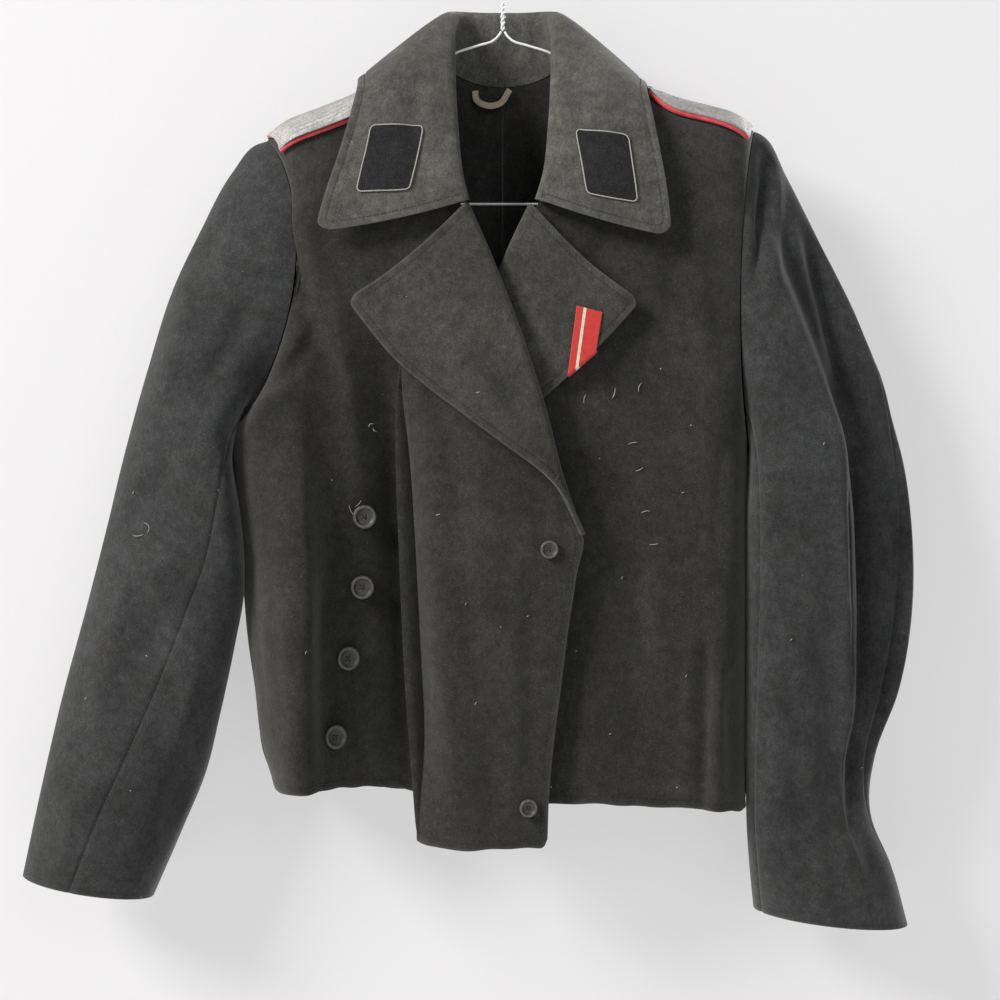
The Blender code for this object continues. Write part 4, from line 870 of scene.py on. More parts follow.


# Painted light: the lapels' wool is the fronts' wool painted nearly twice as light, as if more light fell on
# the upper chest.
lit_lapel_wool = wool("lit_lapel_wool", (0.0340, 0.0335, 0.0308))
lapels, lapel_borders = {}, {}
for side in (RIGHT, LEFT):
    grid = fine(lapel_table(side), LAPEL_FINE_DOWN, LAPEL_FINE_ACROSS)
    turn_columns = (len(LAPEL_TURN) - 1) * LAPEL_FINE_ACROSS
    facing = towards(grid, slice(None), slice(turn_columns, None), OUT_FRONT)
    grid = rounded(grid + normals_of(grid, facing) * FACED_WALL, LAPEL_CORNERS)
    grid = creased(grid, normals_of(grid, facing), LAPEL_CREASES[side], -1)
    border = np.vstack([grid[0, turn_columns:], grid[:, -1]])
    grid, rim = channelled(grid, normals_of(grid, facing), border, FACED_CHANNEL_DEPTH)
    rim[:, :turn_columns // 2] = FAR_FROM_EDGE
    lapels[side], lapel_borders[side] = grid, border
    piece = cloth(f"cloth_lapel_{side}", grid, facing, FACED_WALL - LAYER_GAP, lit_lapel_wool, {"rim": rim},
                  FACED_ROUND_EDGE)
    dress(piece, "wool", f"lapel_{side}")

# ------------------------------------------------------------------------------------------------
# Edge stitching
# A row of machine stitches in dark grey thread runs in a shallow channel a finger's breadth inside the
# edges of the collar, the lapels, the right front and the hem, and holds the layers together.
# ------------------------------------------------------------------------------------------------
STITCH_PITCH, STITCH_LENGTH, STITCH_RADII = 3.1, 2.3, (0.16, 0.24, 0.24, 0.16)
STITCH_LIFT, SHORTEST_STITCH, LAST_COLUMNS = (-0.35, 0.12, 0.12, -0.35), 0.6, slice(-20, None)


def tubes(lines, radius, sides=6, reference=(0.0, 1.0, 0.0), closed=False):
    """Round tubes along many lines of points: at each point a ring stands square to the line, whose first
    direction is square to the reference. Open ends are closed by a face. Gives points and faces."""
    lines = np.asarray(lines, float)
    lines = lines[None] if lines.ndim == 2 else lines
    count, steps = lines.shape[:2]
    if closed:
        ahead = unit(np.roll(lines, -1, axis=1) - np.roll(lines, 1, axis=1))
    else:
        ahead = unit(np.gradient(lines, axis=1))
    first = unit(np.cross(ahead, np.broadcast_to(reference, ahead.shape)))
    second = np.cross(ahead, first)
    turn = np.linspace(0, 2 * np.pi, sides, endpoint=False)[:, None]
    radius = np.broadcast_to(radius, (steps,))[None, :, None, None]
    ring = np.cos(turn) * first[:, :, None] + np.sin(turn) * second[:, :, None]
    points = lines[:, :, None] + radius * ring
    index = np.arange(count * steps * sides).reshape(count, steps, sides)
    low = index if closed else index[:, :-1]
    high = np.roll(index, -1, axis=1) if closed else index[:, 1:]
    quads = np.stack([low, np.roll(low, -1, axis=2), np.roll(high, -1, axis=2), high], -1).reshape(-1, 4)
    faces = quads[:, ::-1].tolist()
    if not closed:
        faces += index[:, 0].tolist() + index[:, -1, ::-1].tolist()
    return points, faces


def inset_line(grid, border, inset):
    """The line on a grid that runs inset inside its border: where the distance from the border crosses inset
    between two neighbours, put in order by their place along the border."""
    rim, _ = from_border(grid, border)
    found = []
    for axis in (0, 1):
        low, high = (np.delete(rim, end, axis) for end in (-1, 0))
        start, stop = (np.delete(grid, end, axis) for end in (-1, 0))
        crossed = (low - inset) * (high - inset) < 0
        share = ((inset - low) / np.where(crossed, high - low, 1))[crossed][:, None]
        found.append(start[crossed] * (1 - share) + stop[crossed] * share)
    found = np.vstack(found)
    _, near = from_border(found, border)
    step = np.gradient(border, axis=0)[near]
    place = near + (((found - border[near]) * step).sum(1) / (step ** 2).sum(1).clip(1e-9)).clip(-1, 1)
    found = found[np.argsort(place)]
    return np.stack([np.convolve(found[:, k], np.ones(5) / 5, "valid") for k in range(3)], -1)


def stitch_lines(line, grid, normals):
    """Centre lines of stitches along a line: short arcs that dive into the cloth at both ends."""
    run = np.concatenate([[0], np.linalg.norm(np.diff(line, axis=0), axis=1).cumsum()])
    keep = np.concatenate([[True], np.diff(run) > 1e-6])
    run, line = run[keep], line[keep]
    at = np.arange(STITCH_PITCH, run[-1] - STITCH_PITCH, STITCH_PITCH)[:, None]
    at = at + np.linspace(-0.5, 0.5, len(STITCH_LIFT)) * STITCH_LENGTH
    points = np.stack([np.interp(at, run, line[:, k]) for k in range(3)], -1)
    middles = points.mean(1)
    _, near = from_border(middles, grid.reshape(-1, 3))
    lift = np.array(STITCH_LIFT)[:, None] * normals.reshape(-1, 3)[near][:, None]
    steps = np.linalg.norm(np.diff(points, axis=1), axis=2).sum(1)
    return (points + lift)[steps > STITCH_LENGTH * SHORTEST_STITCH]


def yarn(name, colour, roughness=0.8):
    """A spun thread: fine streaks of lighter and darker fibres."""
    made, tree = new_material(name)
    tone = between(tree, noise(tree, object_place(tree), 2600, 2, 0.6), 0.3, 0.7, 0.7, 1.3)
    return finished(made, times(tree, (*colour, 1), tone), Roughness=roughness, Specular_IOR_Level=0.25)


dark_thread = yarn("dark_thread", (0.040, 0.040, 0.037))
collar_normals = normals_of(collar_grid, up_here)
stitched = {"collar": (collar_grid[:, roll_column:], leaf_edge),
            "front_right": (fronts[RIGHT], front_borders[RIGHT]),
            "lapel_right": (lapels[RIGHT], lapel_borders[RIGHT]),
            "lapel_left": (lapels[LEFT], lapel_borders[LEFT])}
for key, (grid, border) in stitched.items():
    if key == "collar":
        normals = collar_normals[:, roll_column:]
    else:
        normals = normals_of(grid, towards(grid, slice(None), LAST_COLUMNS, OUT_FRONT))
    lines = stitch_lines(inset_line(grid, border, STITCH_INSET), grid, normals)
    points, faces = tubes(lines, STITCH_RADII, 5)
    dress(add_mesh(f"stitching_{key}", points, faces, dark_thread), "wool")

# ------------------------------------------------------------------------------------------------
# Collar patches
# A parallelogram of plain black cloth is sewn to each front end of the collar, edged with a thin cord of
# pale twisted thread.
# ------------------------------------------------------------------------------------------------
PATCHES = {RIGHT: ((-64, -173), (-106, -173), (-119, -225), (-77, -224)),
           LEFT: ((60, -173), (102, -180), (109, -233), (67, -228))}
PATCH_WALL, PATCH_ROWS, PATCH_COLUMNS, PATCH_CORNER, PATCH_CUT = 1.2, 30, 26, 2.3, (0.052, 0.058, 0.0025)
# The cord's two strands: radius, distance from its middle, and how far they turn from point to point
STRAND_RADIUS, STRAND_OUT, STRAND_TURN = 0.36, 0.28, math.pi
LEAF_MARGIN = 8                      # columns of the leaf beside the roll that no patch reaches


def corner_shares(down, across):
    """Each corner's share in the points of a four-cornered grid: upper two, then lower two backwards."""
    v, u = np.linspace(0, 1, down + 1)[:, None], np.linspace(0, 1, across + 1)[None]
    return (1 - v) * (1 - u), (1 - v) * u, v * u, v * (1 - u)


def laid_on(grid, normals, corners, lift, down, across):
    """A four-cornered piece laid on a grid: its corners are the grid's places nearest to the given x and z,
    and between them it follows the grid, moved out by lift."""
    flat = grid[..., [0, 2]].reshape(-1, 2)
    gap = (flat ** 2).sum(1)[:, None] - 2 * flat @ np.array(corners, float).T
    row, column = np.unravel_index(gap.argmin(0), grid.shape[:2])
    shares = corner_shares(down, across)
    rows = sum(share * r for share, r in zip(shares, row))
    columns = sum(share * c for share, c in zip(shares, column))
    return sample(grid, rows, columns) + unit(sample(normals, rows, columns)) * lift


patch_cloth, tree = new_material("black_patch_cloth")
felt = add_node(tree, "Group", {"Colour": (0.011, 0.011, 0.012, 1), "Worn": 0.0}, node_tree=WOOL)
finished(patch_cloth, felt.outputs["Colour"], felt.outputs["Height"],
         Roughness=0.9, Specular_IOR_Level=0.2, Sheen_Weight=0.08)
pale_thread = yarn("pale_cord_thread", (0.33, 0.32, 0.285), 0.6)

middle_row = len(collar_grid) // 2
collar_halves = {RIGHT: slice(middle_row), LEFT: slice(middle_row, None)}
patch_corners = [(row, column, PATCH_CORNER, PATCH_CORNER)
                 for row in (False, True) for column in (False, True)]
for side in (RIGHT, LEFT):
    place = collar_halves[side], slice(roll_column + LEAF_MARGIN, None)
    grid = laid_on(collar_grid[place], collar_normals[place], PATCHES[side], PATCH_WALL + SEAM_GAP,
                   PATCH_ROWS, PATCH_COLUMNS)
    grid = rounded(grid, patch_corners)
    piece = cloth(f"patch_cloth_{side}", grid, OUT_FRONT, PATCH_WALL - LAYER_GAP, patch_cloth)
    dress(piece, "patch_cloth", f"collar_patch_{side}")
    border = np.vstack([grid[0, :-1], grid[:-1, -1], grid[-1, :0:-1], grid[:0:-1, 0]])
    around = unit(np.roll(border, -1, axis=0) - np.roll(border, 1, axis=0))
    turn = np.arange(len(border))[:, None] * STRAND_TURN
    out = np.cross(around, OUT_FRONT)
    strands = [border + STRAND_OUT * (np.cos(turn + phase) * out + np.sin(turn + phase) * OUT_FRONT)
               for phase in (0.0, np.pi)]
    points, faces = tubes(strands, STRAND_RADIUS, 8, closed=True)
    cord = dress(add_mesh(f"patch_cord_{side}", points, faces, pale_thread), "patch_cloth")

# ------------------------------------------------------------------------------------------------
# Shoulder straps
# A woven silver-grey braid lies on an underlay of red cloth whose edge is rolled round a cord. The strap
# is sewn into the armhole seam and runs towards the neck, the left one to a round end.
# ------------------------------------------------------------------------------------------------
STRAPS = {
    RIGHT: dict(inner=108, outer=200, front=80, back=3, inner_slant=14, outer_slant=16, round_end=False),
    LEFT: dict(inner=119, outer=211, front=68, back=16, inner_slant=4, outer_slant=8, round_end=True),
}
STRAP_SHARES = np.array((0, 0.01, 0.03, 0.06, 0.1, 0.2, 0.35, 0.5, 0.65, 0.8, 0.9, 1.0))
STRAP_COLUMNS, STRAP_REACH, ROUND_END_WIDTH = 13, 5.0, 0.25
UNDERLAY_WALL, BRAID_WALL, PIPING_INSET, PIPING_RADIUS = 1.6, 2.4, 2.3, 1.45
STRAP_LIFT, BRAID_RIBS, RIB_RISE, BRAID_TUCK = 1.1, 9, 0.42, 0.5
END_DROP, DROP_START = 0.7, 0.75     # share of the lift lost at the sleeve seam, and where the loss begins
# The cloth that bears a strap: its upper rows of the fronts and backs and of the sleeves, above a height
BODY_ROWS, HEAD_ROWS, BEARING_ABOVE = 90, 30, -260
STRAP_OUTWARD, STRAP_FINE, BRAID_FINE_ACROSS = np.array([0.0, -0.5, 0.9]), 3, 8
PIPING_IN, PIPING_UP, LEAST_STEP = 1.2, 0.3, 0.05


def strap_table(side, lift, inset):
    """Table grid of a strap bent over the shoulder's ridge: each point stands, on a line out from the middle
    of the shoulder, lift above the highest cloth near that line. A round end narrows along a circle."""
    strap = STRAPS[side]
    half = (strap["front"] + strap["back"]) / 2 - math.degrees(inset / FRONT_PLAIN_DEPTH)
    middle = (strap["front"] - strap["back"]) / 2
    share = STRAP_SHARES[:, None]
    along = (strap["outer"] - strap["inner"]) * share / (math.radians(half) * FRONT_PLAIN_DEPTH)
    width = ROUND_END_WIDTH + (1 - ROUND_END_WIDTH) * np.sqrt(1 - (1 - along.clip(0, 1)) ** 2)
    width = width if strap["round_end"] else np.ones_like(share)
    angle = np.radians(middle + half * np.linspace(-1, 1, STRAP_COLUMNS) * width)
    slant = np.sin(angle).clip(0) ** 2
    inner = strap["inner"] + inset + strap["inner_slant"] * slant
    outer = strap["outer"] + (BRAID_TUCK if inset else 0) - strap["outer_slant"] * slant
    x = SIGN[side] * (inner + (outer - inner) * share)
    centre = xyz(x, 0, shoulder_height(side, x) - RIDGE_DROP).reshape(-1, 3)
    out = xyz(0, -np.sin(angle), np.cos(angle)).reshape(-1, 3)
    near = (fronts[side][:BODY_ROWS], backs[side][:BODY_ROWS], sleeves[side, "top"][:HEAD_ROWS])
    bearing = np.vstack([grid.reshape(-1, 3) for grid in near])
    bearing = bearing[bearing[:, 2] > BEARING_ABOVE]
    reach = bearing @ out.T - (centre * out).sum(1)
    square = ((bearing ** 2).sum(1)[:, None] + (centre ** 2).sum(1) - 2 * bearing @ centre.T) - reach ** 2
    reach = np.where(square < STRAP_REACH ** 2, reach, -1e9).max(0)
    low = 1 - END_DROP * ((STRAP_SHARES - DROP_START) / (1 - DROP_START)).clip(0) ** 2
    points = centre + out * (reach + lift * np.repeat(low, STRAP_COLUMNS))[:, None]
    return points.reshape(len(STRAP_SHARES), STRAP_COLUMNS, 3)


def cloth_place(tree):
    """Place across and along a piece of cloth, in metres, from its UV map."""
    place = add_node(tree, "UVMap", uv_map="cloth").outputs[0]
    split = add_node(tree, "SeparateXYZ", {0: place})
    return split.outputs[0], split.outputs[1]


def waves(tree, value, pitch, low, high):
    """A sine of the value with the given pitch, carried to the range low..high."""
    phase = sums(tree, "MULTIPLY", value, 2 * math.pi / pitch)
    return between(tree, sums(tree, "SINE", phase), -1, 1, low, high)


def piping_cloth():
    """Bright red felted cloth, faded on the rounded edge."""
    made, tree = new_material("red_piping_cloth")
    where = object_place(tree)
    tone = between(tree, noise(tree, where, 900, 3, 0.7), 0.3, 0.7, 0.72, 1.25)
    faded = between(tree, noise(tree, where, 130, 3, 0.6), 0.4, 0.7, 0.0, 0.45)
    colour = blend(tree, faded, (0.58, 0.035, 0.05, 1), (0.66, 0.14, 0.14, 1))
    return finished(made, times(tree, colour, tone), tone, Roughness=0.85, Sheen_Weight=0.2)


def braid_weave():
    """Silver-grey braid: a herringbone of fine threads on each rib, worn darker and browner in patches."""
    made, tree = new_material("silver_braid")
    across, along = cloth_place(tree)
    zigzag = sums(tree, "PINGPONG", across, 0.0024)
    threads = waves(tree, sums(tree, "ADD", along, zigzag), 0.0011, 0.0, 1.0)
    where = object_place(tree)
    worn = between(tree, noise(tree, where, 75, 4, 0.65), 0.42, 0.72, 0.0, 0.75)
    colour = blend(tree, worn, (0.455, 0.44, 0.43, 1), (0.30, 0.285, 0.265, 1))
    pale = between(tree, noise(tree, where, 420, 2, 0.7), 0.35, 0.7, 0.78, 1.25)
    shade = between(tree, threads, 0.0, 1.0, 0.70, 1.1)
    colour = times(tree, times(tree, colour, pale), shade)
    return finished(made, colour, threads, 0.6, Roughness=0.55, Metallic=0.15)


red_piping, silver_braid = piping_cloth(), braid_weave()
for side in (RIGHT, LEFT):
    grid = fine(strap_table(side, STRAP_LIFT + UNDERLAY_WALL, 0.0), STRAP_FINE, STRAP_FINE)
    underlay = cloth(f"underlay_{side}", grid, STRAP_OUTWARD, UNDERLAY_WALL - LAYER_GAP, red_piping)
    dress(underlay, "piping", f"strap_underlay_{side}")
    border = np.vstack([grid[::-1, 0], grid[0, 1:-1], grid[:, -1]])
    apart = np.linalg.norm(np.diff(border, axis=0), axis=1) > LEAST_STEP
    border = border[np.concatenate([[True], apart])]
    inside = unit(np.broadcast_to(grid[:, grid.shape[1] // 2].mean(0), border.shape) - border)
    border = border + inside * PIPING_IN + STRAP_OUTWARD * PIPING_UP
    points, faces = tubes(border, PIPING_RADIUS, 10, (0.0, 0.3, 1.0))
    rolled = dress(add_mesh(f"piping_{side}", points, faces, red_piping), "piping")
    above = STRAP_LIFT + UNDERLAY_WALL + 5 * SEAM_GAP + BRAID_WALL
    grid = fine(strap_table(side, above, PIPING_INSET), STRAP_FINE, BRAID_FINE_ACROSS)
    normals = normals_of(grid, STRAP_OUTWARD)
    across = np.linspace(0, 1, grid.shape[1])
    ribs = RIB_RISE * (abs(np.sin(np.pi * BRAID_RIBS * across)) - 1)
    grid = grid + normals * ribs[None, :, None]
    braid = cloth(f"braid_{side}", grid, STRAP_OUTWARD, BRAID_WALL - 4 * LAYER_GAP, silver_braid)
    dress(braid, "braid", f"strap_braid_{side}")

# ------------------------------------------------------------------------------------------------
# Ribbon
# A short length of woven red ribbon, with one narrow pale stripe, is folded over the left lapel's edge.
# ------------------------------------------------------------------------------------------------
RIBBON = ((60, -317.5), (81, -323), (76, -354), (52.5, -374.5))
RIBBON_WIDTH, RIBBON_STRIPE, RIBBON_STRIPE_HALF, RIBBON_LIFT = 21.5, 7.0, 1.3, 1.4
RIBBON_WRAP = ((1.2, 0.5), (2.0, 1.8), (1.6, 4.0))      # last rows: down past the edge, and back behind it
RIBBON_ROWS, RIBBON_COLUMNS, RIBBON_CUT = 24, 14, (0.027, 0.05, 0.00095)
RIBBON_MIDDLE, RIBBON_NEAR = (68, -345), ((46, 90), (-382, -308))       # x and z, and the cloth that bears it
LAPEL_TOP_COLUMN = 32                # first column of the lapel that is on its flat leaf


def ribbon_weave():
    """Ribbed silk: fine cross ribs and a pale stripe along one side."""
    made, tree = new_material("red_ribbon")
    along = cloth_place(tree)[1]
    across = add_node(tree, "Attribute", attribute_name="across").outputs["Fac"]
    off = sums(tree, "ABSOLUTE", sums(tree, "SUBTRACT", across, RIBBON_STRIPE))
    stripe = between(tree, off, RIBBON_STRIPE_HALF * 0.85, RIBBON_STRIPE_HALF, 1.0, 0.0)
    colour = blend(tree, stripe, (0.50, 0.022, 0.014, 1), (0.62, 0.57, 0.45, 1))
    ribs = waves(tree, along, 0.0007, 0.82, 1.08)
    soiled = between(tree, noise(tree, object_place(tree), 240, 3, 0.6), 0.35, 0.7, 1.05, 0.84)
    colour = times(tree, colour, sums(tree, "MULTIPLY", ribs, soiled))
    return finished(made, colour, ribs, 0.5, 0.0002, Roughness=0.5, Sheen_Weight=0.15)


def second_order(x, z):
    """The terms of a second-order surface over x and z, measured from the ribbon's middle in centimetres."""
    x, z = (x - RIBBON_MIDDLE[0]) / 10, (z - RIBBON_MIDDLE[1]) / 10
    return np.stack([np.ones_like(x), x, z, x * x, x * z, z * z], -1)


# The ribbon lies on the second-order surface that fits the lapel's points near it best
near = lapels[LEFT][:, LAPEL_TOP_COLUMN:].reshape(-1, 3)
for axis, (low, high) in zip((0, 2), RIBBON_NEAR):
    near = near[(near[:, axis] > low) & (near[:, axis] < high)]
fit = np.linalg.lstsq(second_order(near[:, 0], near[:, 2]), near[:, 1], rcond=None)[0]
shares = corner_shares(RIBBON_ROWS, RIBBON_COLUMNS)
x, z = (sum(share * corner[k] for share, corner in zip(shares, RIBBON)) for k in (0, 1))
grid = xyz(x, second_order(x, z) @ fit - RIBBON_LIFT, z)
below = np.cross(unit(grid[-1, -1] - grid[-1, 0]), OUT_FRONT)
below = below * -np.sign(below[2])
wrap = [(grid[-1] + out * below + (0, back, 0))[None] for out, back in RIBBON_WRAP]
grid = np.concatenate([grid] + wrap)
across = np.broadcast_to(np.linspace(0, RIBBON_WIDTH, RIBBON_COLUMNS + 1), grid.shape[:2])
ribbon = cloth("woven_ribbon", grid, OUT_FRONT, PATCH_WALL - 4 * LAYER_GAP, ribbon_weave(),
               {"across": across})
dress(ribbon, "ribbon", "ribbon")

# ------------------------------------------------------------------------------------------------
# Buttons
# Turned dark buttons with a raised rim and a dished middle, pierced by four holes and sewn on with dark
# thread. Each takes the place and the lean of its solid.
# ------------------------------------------------------------------------------------------------
BUTTON_DIAMETERS = {"button_1": 20, "button_2": 20, "button_3": 20, "button_4": 20, "button_top": 15,
                    "button_hem": 15}
# The four holes: angles, and as shares of the button's radius their place, radius and softness; their depth
HOLE_ANGLES, HOLE_PLACE, HOLE_RADIUS = np.radians((45, 135, 225, 315)), 0.21, 0.075
HOLE_SOFTNESS, HOLE_DEPTH = 0.012, 0.9
# Radius as a share of the button's, and height above its back
BUTTON_PROFILE = ((0.0, 1.45), (0.12, 1.45), (0.22, 1.45), (0.34, 1.46), (0.46, 1.5), (0.56, 1.6),
                  (0.64, 2.0), (0.71, 2.7), (0.78, 3.1), (0.86, 3.15), (0.93, 2.95), (0.985, 2.4),
                  (1.0, 1.8), (0.97, 1.1), (0.9, 0.4), (0.82, 0.0), (0.4, 0.0), (0.0, 0.0))
DISH_RINGS, BUTTON_SIDES, LEAST_RADIUS, SOLID_HALF = 14, 72, 0.004, 1.55
HOLES_UP = (0.12, 0.0, 1.0)          # the way up of the holes' square, slightly turned
SEWN_HEIGHTS, SEWN_RADIUS = np.array([0.7, 1.55, 1.9, 1.9, 1.55, 0.7]), 0.34
SHANK, SHANK_RADIUS = np.array([[0, 0, 0.2], [0, 0, -0.8], [0, 0, -1.6]]), 1.1


def horn():
    """Dull dark moulded button: mottled, with a painted highlight on the top of its rim."""
    made, tree = new_material("dark_button_horn")
    where = object_place(tree)
    mottle = between(tree, noise(tree, where, 380, 4, 0.6), 0.3, 0.7, 0.65, 1.35)
    height = add_node(tree, "Attribute", attribute_name="raised").outputs["Fac"]
    # Painted highlight: the highest part of the rim is painted lighter.
    wear_and_highlight = between(tree, height, 2.6, 3.15, 0.0, 0.55)
    colour = blend(tree, wear_and_highlight, (0.038, 0.037, 0.034, 1), (0.115, 0.11, 0.098, 1))
    rough = between(tree, noise(tree, where, 700, 3, 0.6), 0.3, 0.7, 0.38, 0.6)
    return finished(made, times(tree, colour, mottle), mottle, 0.25, 0.0002, Roughness=rough)


def turned_button(diameter):
    """Profile turned round the z axis: rings of points, with the four holes pressed into the dish as deep
    narrow bells. Gives points, faces and the height of each point."""
    radius, height = np.array(BUTTON_PROFILE).T
    profile = through(xyz(radius, height, 0), [2] * (len(BUTTON_PROFILE) - 1))
    share = profile[:, :1].clip(LEAST_RADIUS)
    turn = np.linspace(0, 2 * np.pi, BUTTON_SIDES, endpoint=False)
    x, y = share * np.cos(turn), share * np.sin(turn)
    z = np.repeat(profile[:, 1:2], BUTTON_SIDES, 1)
    in_dish = (np.arange(len(share)) < DISH_RINGS)[:, None]
    for hole in HOLE_ANGLES:
        off = np.hypot(x - HOLE_PLACE * np.cos(hole), y - HOLE_PLACE * np.sin(hole))
        z = z - in_dish * HOLE_DEPTH / (1 + np.exp((off - HOLE_RADIUS) / HOLE_SOFTNESS))
    points = xyz(x * diameter / 2, y * diameter / 2, z)
    index = np.arange(points[..., 0].size).reshape(len(share), BUTTON_SIDES)
    low, high = index[:-1], index[1:]
    quads = np.stack([low, high, np.roll(high, -1, 1), np.roll(low, -1, 1)], -1).reshape(-1, 4)
    return points, quads.tolist() + [index[0].tolist(), index[-1, ::-1].tolist()], z


dark_horn = horn()
way = np.linspace(0, 1, len(SEWN_HEIGHTS))[:, None]
for name, diameter in BUTTON_DIAMETERS.items():
    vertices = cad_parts[name].data.vertices
    corners = np.zeros(len(vertices) * 3)
    vertices.foreach_get("co", corners)
    corners = np.unique((corners.reshape(-1, 3) / MM).round(3), axis=0)
    centre = (corners.max(0) + corners.min(0)) / 2
    axis = np.linalg.svd(corners - corners.mean(0))[2][2]
    axis = axis if axis[1] < 0 else -axis
    side_on = unit(np.cross(axis, HOLES_UP))
    lean = np.stack([side_on, np.cross(axis, side_on), axis], -1)
    back = centre - axis * SOLID_HALF
    points, faces, raised = turned_button(diameter)
    piece = add_mesh(f"turned_{name}", points @ lean.T + back, faces, dark_horn, values={"raised": raised})
    dress(piece, "button", name)
    ends = np.stack([np.cos(HOLE_ANGLES), np.sin(HOLE_ANGLES)], -1) * HOLE_PLACE * diameter / 2
    over = [np.hstack([ends[a] * (1 - way) + ends[b] * way, SEWN_HEIGHTS[:, None]])
            for a, b in ((0, 2), (1, 3))]
    points, faces = tubes(np.array(over) @ lean.T + back, SEWN_RADIUS, 7, lean[:, 2] + (0.1, 0.05, 0.02))
    dress(add_mesh(f"thread_{name}", points, faces, dark_thread), "button")
    points, faces = tubes(SHANK @ lean.T + back, SHANK_RADIUS, 10, side_on)
    dress(add_mesh(f"shank_{name}", points, faces, dark_thread), "button")

# ------------------------------------------------------------------------------------------------
# Loose threads
# Short ends of pale sewing thread are left where things were once sewn on, and a few lie on the cloth.
# ------------------------------------------------------------------------------------------------
# Piece they lie on, middle in x and z, half length across and down, and bow
THREAD_ENDS = {
    "front_left": ((67.5, -393, 0.8, 3.9, 0.9), (91, -388, 1.3, 4.4, -0.8), (113.5, -383, 1.5, 4.2, 1.4),
                   (107, -429.5, 4.0, 0.7, 0.8), (112, -450.5, 3.2, 1.5, -0.8),
                   (117.5, -486, 3.9, 0.8, 0.9),
                   (124, -512, 3.8, 0.3, -0.6), (148, -470, 1.2, 0.4, 0.3), (98, -540, 0.5, 1.3, 0.2),
                   (60, -600, 0.9, 0.6, 0.3), (150, -620, 0.5, 1.2, 0.3), (88, -668, 1.0, 0.3, 0.2)),
    "front_right": ((-125.5, -485, -2.8, 5.0, 1.3), (-121, -479, 2.6, 2.8, -0.6), (-110, -414, 2.2, 1.6, 1.6),
                    (-107, -417, -1.6, 1.9, 1.2), (-22, -640, 0.6, 1.2, 0.2), (20, -570, 1.0, 0.4, 0.2),
                    (-160, -600, 0.5, 1.4, 0.3), (-30, -560, 0.4, 1.1, 0.2)),
    "sleeve_top_right": ((-294, -499, -1.2, 4.4, -3.2), (-300, -504, 5.0, 1.0, -1.6),
                         (-306, -470, 0.6, 1.5, 0.4), (-345, -640, 0.8, 1.2, 0.3)),
    "sleeve_top_left": ((235, -590, 0.9, 0.7, 0.3), (262, -430, 0.5, 1.3, 0.3), (300, -700, 1.1, 0.4, 0.2)),
    "lapel_right": ((-52, -488, 1.8, 0.6, 0.4), (-20, -390, 1.5, 0.5, 0.3)),
}
THREAD_GRIDS = {"front_left": fronts[LEFT], "front_right": fronts[RIGHT], "lapel_right": lapels[RIGHT],
                "sleeve_top_right": sleeves[RIGHT, "top"], "sleeve_top_left": sleeves[LEFT, "top"]}
THREAD_RADII = np.array([0.12, 0.2, 0.27, 0.3, 0.3, 0.3, 0.27, 0.2, 0.12])
THREAD_LIFT, THREAD_ARCH, THREAD_REACH = 0.35, 0.5, 4.0


def foremost(grid, x, z):
    """The point of a grid that stands in front at each x and z: of its points within the reach, or within
    the widest gap if that is more, the nearest to the viewer, moved to that x and z."""
    flat = grid.reshape(-1, 3)
    gap = (flat[:, :1] - x) ** 2 + (flat[:, 2:] - z) ** 2
    reach = max(THREAD_REACH ** 2, gap.min(0).max() * 1.1)
    return xyz(x, np.where(gap < reach, flat[:, 1:2], np.inf).min(0), z)


lines = []
way = np.linspace(-1, 1, len(THREAD_RADII))[None, :, None]
for key, table in THREAD_ENDS.items():
    x, z, across, down, bow = np.array(table).T
    middle = foremost(THREAD_GRIDS[key], x, z)
    half = xyz(across, 0, down)[:, None]
    side_on = unit(xyz(-down, 0, across))[:, None]
    arc = (1 - way ** 2) * bow[:, None, None] * side_on
    lift = OUT_FRONT * (THREAD_LIFT + THREAD_ARCH * (1 - way ** 2))
    lines.append(middle[:, None] + half * way + arc + lift)
points, faces = tubes(np.concatenate(lines), THREAD_RADII, 6)
dress(add_mesh("loose_threads", points, faces, pale_thread), "wool")

# ------------------------------------------------------------------------------------------------
# Hanging loop
# A U of beige cotton tape, sewn into the seam below the collar at the back of the neck.
# ------------------------------------------------------------------------------------------------
LOOP_LINE = ((-24, 27, -121), (-23, 25.5, -129), (-12, 24, -135), (-3, 24.5, -133), (6, 27, -120))
TAPE_WALL, TAPE_WIDTH, TAPE_BULGE, TAPE_CUT = 1.0, 5.5, 0.25, (0.010, 0.055, 0.00033)
TAPE_STEPS_ALONG, TAPE_POINTS_ACROSS = 12, 9
line = through(np.array(LOOP_LINE, float), [TAPE_STEPS_ALONG] * (len(LOOP_LINE) - 1))
ahead = np.gradient(line, axis=0)
across = unit(xyz(-ahead[:, 2], 0, ahead[:, 0]))
wide = np.linspace(-0.5, 0.5, TAPE_POINTS_ACROSS)[None, :, None]
grid = line[:, None] + across[:, None] * wide * TAPE_WIDTH
grid = grid + OUT_FRONT * (TAPE_WALL + TAPE_BULGE * (1 - 4 * wide ** 2))
tape_cloth, tree = new_material("beige_tape_cloth")
warp, weft = (waves(tree, way, pitch, -1, 1) for way, pitch in zip(cloth_place(tree), (0.0008, 0.0010)))
weave = between(tree, sums(tree, "MULTIPLY", warp, weft), -1, 1, 0.72, 1.12)
soiled = between(tree, noise(tree, object_place(tree), 190, 3, 0.6), 0.35, 0.7, 0.0, 0.6)
colour = blend(tree, soiled, (0.50, 0.42, 0.31, 1), (0.30, 0.24, 0.17, 1))
finished(tape_cloth, times(tree, colour, weave), weave, 0.6, Roughness=0.9)
tape = cloth("tape_loop", grid, OUT_FRONT, TAPE_WALL, tape_cloth)
dress(tape, "tape", "hanging_loop")

